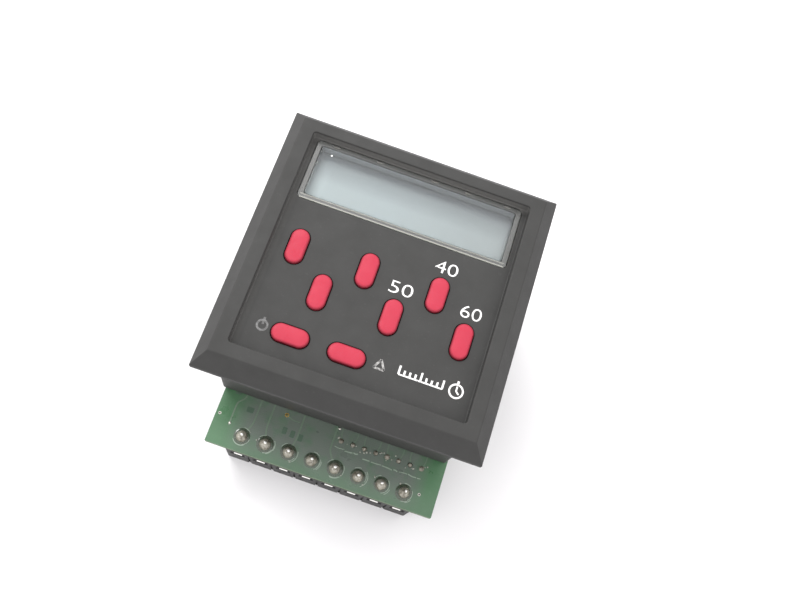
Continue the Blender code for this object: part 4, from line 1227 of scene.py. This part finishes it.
def make_joints():
    """The eight large solder domes with pin tips and the small row beside them."""
    chance = random.Random(5)
    plain_scale, swell, ripple = 0.92, 0.13, 0.12
    # (radius, height) up the side of a dome and its pin
    shape = [(1.30, 0), (1.29, 0.10), (1.22, 0.34), (1.10, 0.62), (0.94, 0.86), (0.76, 1.04),
             (0.60, 1.17), (0.48, 1.28), (0.41, 1.42), (0.37, 1.55), (0.27, 1.63), (0.12, 1.66)]
    for number, x in zip(POLES, POLE_XS):
        width = 1.0 + 0.05 * (chance.random() - 0.5)
        height = 1.0 + 0.08 * (chance.random() - 0.5)
        tilt = (chance.random() - 0.5) * 0.14
        seed = Vector((number * 7.1, 3.3, 1.7))

        def dome(bm):
            base = BOARD_TOP_Z + 0.05
            lathe(bm, [(radius * width * plain_scale, base + rise * height) for radius, rise in shape],
                  x, PIN_Y, steps=40, tilt=tilt)
            for vert in bm.verts:
                rise = vert.co.z - base
                amount = swell * noise.noise(vert.co * 0.9 + seed) * min(rise / 0.3, 1.0)
                outward = Vector((vert.co.x - x, vert.co.y - PIN_Y, 0))
                vert.co += outward * amount
                vert.co.z += ripple * noise.noise(vert.co * 0.7 + seed) * min(rise, 1.0)

        piece("solder_dome_%d" % number, dome, LOOKS["solder"], sharp=60)

    def tips(bm):
        """The bare end of each pin, just through its joint."""
        for x in POLE_XS:
            base = BOARD_TOP_Z + 1.62
            lathe(bm, [(0.30, base), (0.30, base + 0.10), (0.22, base + 0.17), (0.08, base + 0.19)],
                  x + 0.06, PIN_Y + 0.14, steps=20)

    piece("pin_tips", tips, LOOKS["bright"])

    def small(bm):
        for x in NETWORK_XS:
            base = BOARD_TOP_Z + 0.04
            wide = 0.45 + 0.14 * chance.random()
            tall = 0.34 + 0.2 * chance.random()
            lathe(bm, [(wide, base), (wide * 0.88, base + tall * 0.3), (wide * 0.5, base + tall * 0.62),
                       (0.22, base + tall * 0.8), (0.18, base + tall), (0.08, base + tall + 0.05)],
                  x + 0.1 * (chance.random() - 0.5), NETWORK_Y, steps=18,
                  tilt=(chance.random() - 0.5) * 0.5)

    piece("network_joints", small, LOOKS["small_solder"])


# Terminal block ---------------------------------------------------------------------------------

def make_terminal_block():
    """Eight-way housing with funnelled wire entries, screw wells, grooves and notches."""
    low, high = BLOCK_LOW, BLOCK_HIGH
    clamp_low = box_mm("wire_clamp_1")[0]
    fit = 0.2
    pocket = (1.9 + fit, 2.3 + fit)             # half sizes in plan
    half_entry = 1.5
    entry_low, entry_high = clamp_low.z + 1.1, CLAMP_TOP_Z - 0.8
    well, flare = 2.0, 0.25

    def body(bm):
        block(bm, low, high, rounding=0.25)

    def pockets(bm):
        for x in POLE_XS:
            slab(bm, x, PIN_Y, *pocket, clamp_low.z - 0.3, high.z + PAST, 0.05)

    def entries(bm):
        """Each entry opens outwards as a funnel, and is a straight tunnel further in."""
        funnel = 0.15
        reach = 0.3
        for x in POLE_XS:
            rings = []
            for y, grow in ((low.y - PAST, funnel + 0.2), (low.y, funnel), (low.y + reach, 0.0),
                            (PIN_Y - 2.2, 0.0)):
                outline = rounded_rectangle((x - half_entry - grow, entry_low - grow),
                                            (x + half_entry + grow, entry_high + grow * 0.6), 0.4, 3)
                rings.append([(px, y, pz) for px, pz in outline])
            skin(bm, rings)

    def wells(bm):
        for x in POLE_XS:
            rim = quarter((well + flare, low.z), (well + flare, low.z + flare),
                          (well, low.z + flare), CURVE_STEPS)
            lathe(bm, [(well + flare, low.z - PAST)] + rim + [(well, clamp_low.z + fit)], x, PIN_Y,
                  steps=36)

    def grooves(bm):
        """Between neighbours: a deep notch at the wire side, and shallow grooves on both sides."""
        notch, notch_deep, notch_top = 0.32, 1.1, 2.1
        groove, groove_deep, groove_top = 0.2, 0.3, high.z - 1.0
        for left, right in zip(POLE_XS, POLE_XS[1:]):
            middle = (left + right) / 2
            block(bm, (middle - notch, low.y - PAST, low.z - PAST),
                  (middle + notch, low.y + notch_deep, notch_top), rounding=0.15)
            block(bm, (middle - groove, low.y - PAST, notch_top + 0.5),
                  (middle + groove, low.y + groove_deep, groove_top), rounding=0.08)
            block(bm, (middle - groove, high.y - groove_deep, 0.8),
                  (middle + groove, high.y + PAST, groove_top), rounding=0.08)

    piece("terminal_housing", body, LOOKS["block"], replaces=["terminal_block"],
          steps=[(CUT, pockets), (CUT, entries), (CUT, wells), (CUT, grooves)])


def make_poles():
    """Clamp with its pin on the module, guard and slotted screw on their own bodies."""
    for number, x in zip(POLES, POLE_XS):
        clamp = "wire_clamp_%d" % number
        guard = "wire_guard_%d" % number
        screw = "terminal_screw_%d" % number
        clamp_low, clamp_high = box_mm(clamp)
        guard_low, guard_high = box_mm(guard)
        screw_low, screw_high = box_mm(screw)
        head = (screw_high.x - screw_low.x) / 2
        shank, shank_gap = 1.1, 0.3
        wall, floor, half_pin = 0.6, 0.8, 0.5       # the clamp's two thicknesses, and half its pin

        def clamp_body(bm):
            block(bm, clamp_low, (clamp_high.x, clamp_high.y, CLAMP_TOP_Z), rounding=0.15, corner=0.3)

        def clamp_space(bm):
            block(bm, (clamp_low.x + wall, clamp_low.y - PAST, clamp_low.z + floor),
                  (clamp_high.x - wall, clamp_high.y + PAST, CLAMP_TOP_Z - floor), rounding=0.12)

        def shank_hole(bm):
            rod(bm, x, PIN_Y, shank + shank_gap, clamp_low.z - PAST, clamp_low.z + floor + 0.2, steps=24)

        def pin(bm):
            slab(bm, x, PIN_Y, half_pin, half_pin, CLAMP_TOP_Z - 0.4, BOARD_TOP_Z + 1.2, 0.08)

        piece(clamp + "_bent", clamp_body, LOOKS["tin"], replaces=[clamp],
              steps=[(CUT, clamp_space), (CUT, shank_hole), (JOIN, pin)])

        def guard_plate(bm):
            """Plate inside the clamp, a tongue towards the entry and its turned-down lip."""
            half = 0.9
            lip_out, lip_drop = 0.34, 0.30
            front = BOARD_LOW.y + 0.5
            side = [(guard_high.y - 0.1, guard_low.z), (front, guard_low.z),
                    (front - lip_out, guard_low.z - lip_drop),
                    (front - lip_out - 0.02, guard_low.z - lip_drop + 0.3),
                    (front - 0.08, guard_high.z - 0.02), (front + 0.1, guard_high.z),
                    (guard_high.y - 0.1, guard_high.z)]
            rings = [[(px, y, z) for y, z in side] for px in (x - half, x + half)]
            skin(bm, rings)
            bmesh.ops.bevel(bm, geom=list(bm.edges), offset=0.05, segments=2, profile=0.5,
                            affect="EDGES")

        piece(guard + "_plate", guard_plate, LOOKS["bright"], body=guard,
              replaces=[guard])

        def screw_body(bm):
            under_head, edge = screw_low.z + 1.6, 0.3
            foot = quarter((head * 0.8, screw_low.z), (head * 0.8, screw_low.z + edge),
                           (head, screw_low.z + edge), 4)
            lathe(bm, foot + [(head, under_head - 0.1), (head - 0.1, under_head),
                              (shank, under_head), (shank, screw_high.z - 0.15),
                              (shank - 0.15, screw_high.z)], x, PIN_Y, steps=36)

        def screw_slot(bm):
            half_slot, deep = 0.27, 0.9
            slab(bm, x, PIN_Y, head + PAST, half_slot, screw_low.z - PAST, screw_low.z + deep, 0.05)

        piece(screw + "_slotted", screw_body, LOOKS["steel"], body=screw,
              replaces=[screw], steps=[(CUT, screw_slot)])


# Parts on the rear board ------------------------------------------------------------------------

def make_relay():
    """Cream case with a moulded step round its base and a small vent."""
    low, high = box_mm("relay")
    base = high.z - 1.1
    step_high, step_deep = 0.25, 0.25

    def body(bm):
        block(bm, low, high, rounding=0.45, corner=0.6, steps=4)

    def step_and_vent(bm):
        loft(bm, (low.x - PAST, low.y - PAST), (high.x + PAST, high.y + PAST),
             [(0, base), (0, base + step_high)], corner=0.3)
        rod(bm, low.x + 2.4, low.y + 2.2, 0.45, low.z - PAST, low.z + 0.5, steps=20)

    def kept(bm):
        loft(bm, (low.x + step_deep, low.y + step_deep), (high.x - step_deep, high.y - step_deep),
             [(0, base - 0.5), (0, base + 0.7)], corner=0.4)

    piece("relay_case", body, LOOKS["relay"], replaces=["relay"],
          steps=[(CUT, step_and_vent), (JOIN, kept)])


def make_regulator():
    """Moulded body with a step along its foot and a round recess."""
    low, high = box_mm("voltage_regulator")

    def body(bm):
        block(bm, low, high, rounding=0.2, corner=0.3)

    def cuts(bm):
        block(bm, (low.x - PAST, low.y - PAST, low.z - PAST), (high.x + PAST, low.y + 1.3, low.z + 2.2),
              rounding=0.15)
        rod(bm, middle_of("voltage_regulator")[0], high.y - 1.5, 1.3, low.z - PAST, low.z - 0.4, steps=24)

    piece("regulator_body", body, LOOKS["chip"], replaces=["voltage_regulator"],
          steps=[(CUT, cuts)])


def make_optocoupler():
    """Chip with tapered sides and a corner dot, and its six bent legs."""
    low, high = box_mm("optocoupler")
    taper, seam, widest = 0.35, 0.08, low.z + 1.8

    def body(bm):
        loft(bm, low, high, [(taper, low.z), (seam, widest - 0.1), (0.0, widest), (seam, widest + 0.1),
                             (taper * 0.7, high.z)], corner=0.2)

    def dot(bm):
        rod(bm, low.x + 1.3, low.y + 1.3, 0.45, low.z - PAST, low.z + 0.1, steps=20)

    piece("optocoupler_body", body, LOOKS["chip"], replaces=["optocoupler"],
          steps=[(CUT, dot)])

    def legs(bm):
        pitch, half = 2.54, 0.24
        for side, y in ((-1, low.y), (1, high.y)):
            for index in (-1, 0, 1):
                x = middle_of("optocoupler")[0] + index * pitch
                near, far = sorted((y - side * 0.2, y + side * 0.55))
                block(bm, (x - half * 2.2, near, low.z + 1.65), (x + half * 2.2, far, low.z + 1.95),
                      rounding=0.06)
                near, far = sorted((y + side * 0.3, y + side * 0.56))
                block(bm, (x - half, near, low.z + 1.7), (x + half, far, BOARD_REAR_Z + 0.1),
                      rounding=0.05)

    piece("optocoupler_legs", legs, LOOKS["tin"])


def make_capacitor():
    """Sleeved can with a roll near its foot, a curved stripe and a scored metal top."""
    low, high = box_mm("supply_capacitor")
    x, y = middle_of("supply_capacitor")
    outer = (high.x - low.x) / 2
    edge, roll = 0.5, 0.25
    lip, well = 0.75, 0.3
    score, score_reach, score_z = 0.13, outer * 0.55, low.z + 0.26      # half width, half length, end

    def can(bm):
        top = quarter((outer - edge, low.z), (outer - edge, low.z + edge), (outer, low.z + edge), 4)
        foot = [(outer, high.z - 1.6), (outer - roll, high.z - 1.3), (outer, high.z - 1.0),
                (outer, high.z - 0.3), (outer - 0.3, high.z)]
        lathe(bm, top + foot, x, y, steps=48)

    def can_well(bm):
        rod(bm, x, y, outer - lip, low.z - PAST, low.z + well, steps=48)

    piece("capacitor_can", can, LOOKS["sleeve"], replaces=["supply_capacitor"],
          steps=[(CUT, can_well)])

    def metal_top(bm):
        """Bare metal inside the sleeve's lip."""
        rim = outer - lip - 0.05
        lathe(bm, [(rim - 0.05, low.z + 0.08), (rim, low.z + 0.13), (rim, low.z + well + 0.05)], x, y,
              steps=48)

    def scored(half_x, half_y):
        return lambda bm: slab(bm, x, y, half_x, half_y, low.z - PAST, score_z, 0.02)

    piece("capacitor_top", metal_top, LOOKS["can"],
          steps=[(CUT, scored(score_reach, score)), (CUT, scored(score, score_reach))])

    def stripe(bm):
        start, end, steps = 187, 213, 6
        outside = arc(x, y, outer + 0.012, start, end, steps)
        inside = arc(x, y, outer - 0.1, end, start, steps)
        skin(bm, [[(px, py, z) for px, py in outside + inside]
                  for z in (low.z + 0.7, high.z - 1.75)])

    piece("capacitor_stripe", stripe, LOOKS["stripe"])


def make_network():
    """Dipped resistor network with its eight leads."""
    body_high = BOARD_REAR_Z - 0.3

    def body(bm):
        block(bm, NETWORK_LOW, (NETWORK_HIGH.x, NETWORK_HIGH.y, body_high), rounding=0.55, corner=0.7,
              steps=5)

    def leads(bm):
        for x in NETWORK_XS:
            slab(bm, x, NETWORK_Y, 0.24, 0.14, body_high - 0.6, BOARD_TOP_Z + 0.3, 0.05)

    piece("network_body", body, LOOKS["network"], replaces=["resistor_network"])
    piece("network_leads", leads, LOOKS["tin"])


def dress_hidden_nodes():
    """Gives the CAD nodes that stay, inside the case, their own looks."""
    dress = {"keypad_mat": "mat", "display_board": "inner_mask", "lcd_rear_glass": "glass",
             "lcd_reflector": "reflector", "lcd_holder": "holder", "contact_strip_lower": "strip",
             "contact_strip_upper": "strip", "counter_chip": "chip", "crystal": "can",
             "header_pins": "holder", "header_socket": "holder"}
    for node, look in dress.items():
        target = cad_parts[node]
        give_look(target, LOOKS[look])
        edge = target.modifiers.new("soft_edges", "BEVEL")
        edge.width = 0.08 * MM
        edge.segments = 2
        edge.limit_method = "ANGLE"


make_camera()
make_light()
make_floor()
make_bezel()
make_window()
make_display()
make_keys()
make_prints()
make_case()
make_case_screws()
make_board()
make_board_front_marks()
make_board_rear_marks()
make_joints()
make_terminal_block()
make_poles()
make_relay()
make_regulator()
make_optocoupler()
make_capacitor()
make_network()
dress_hidden_nodes()
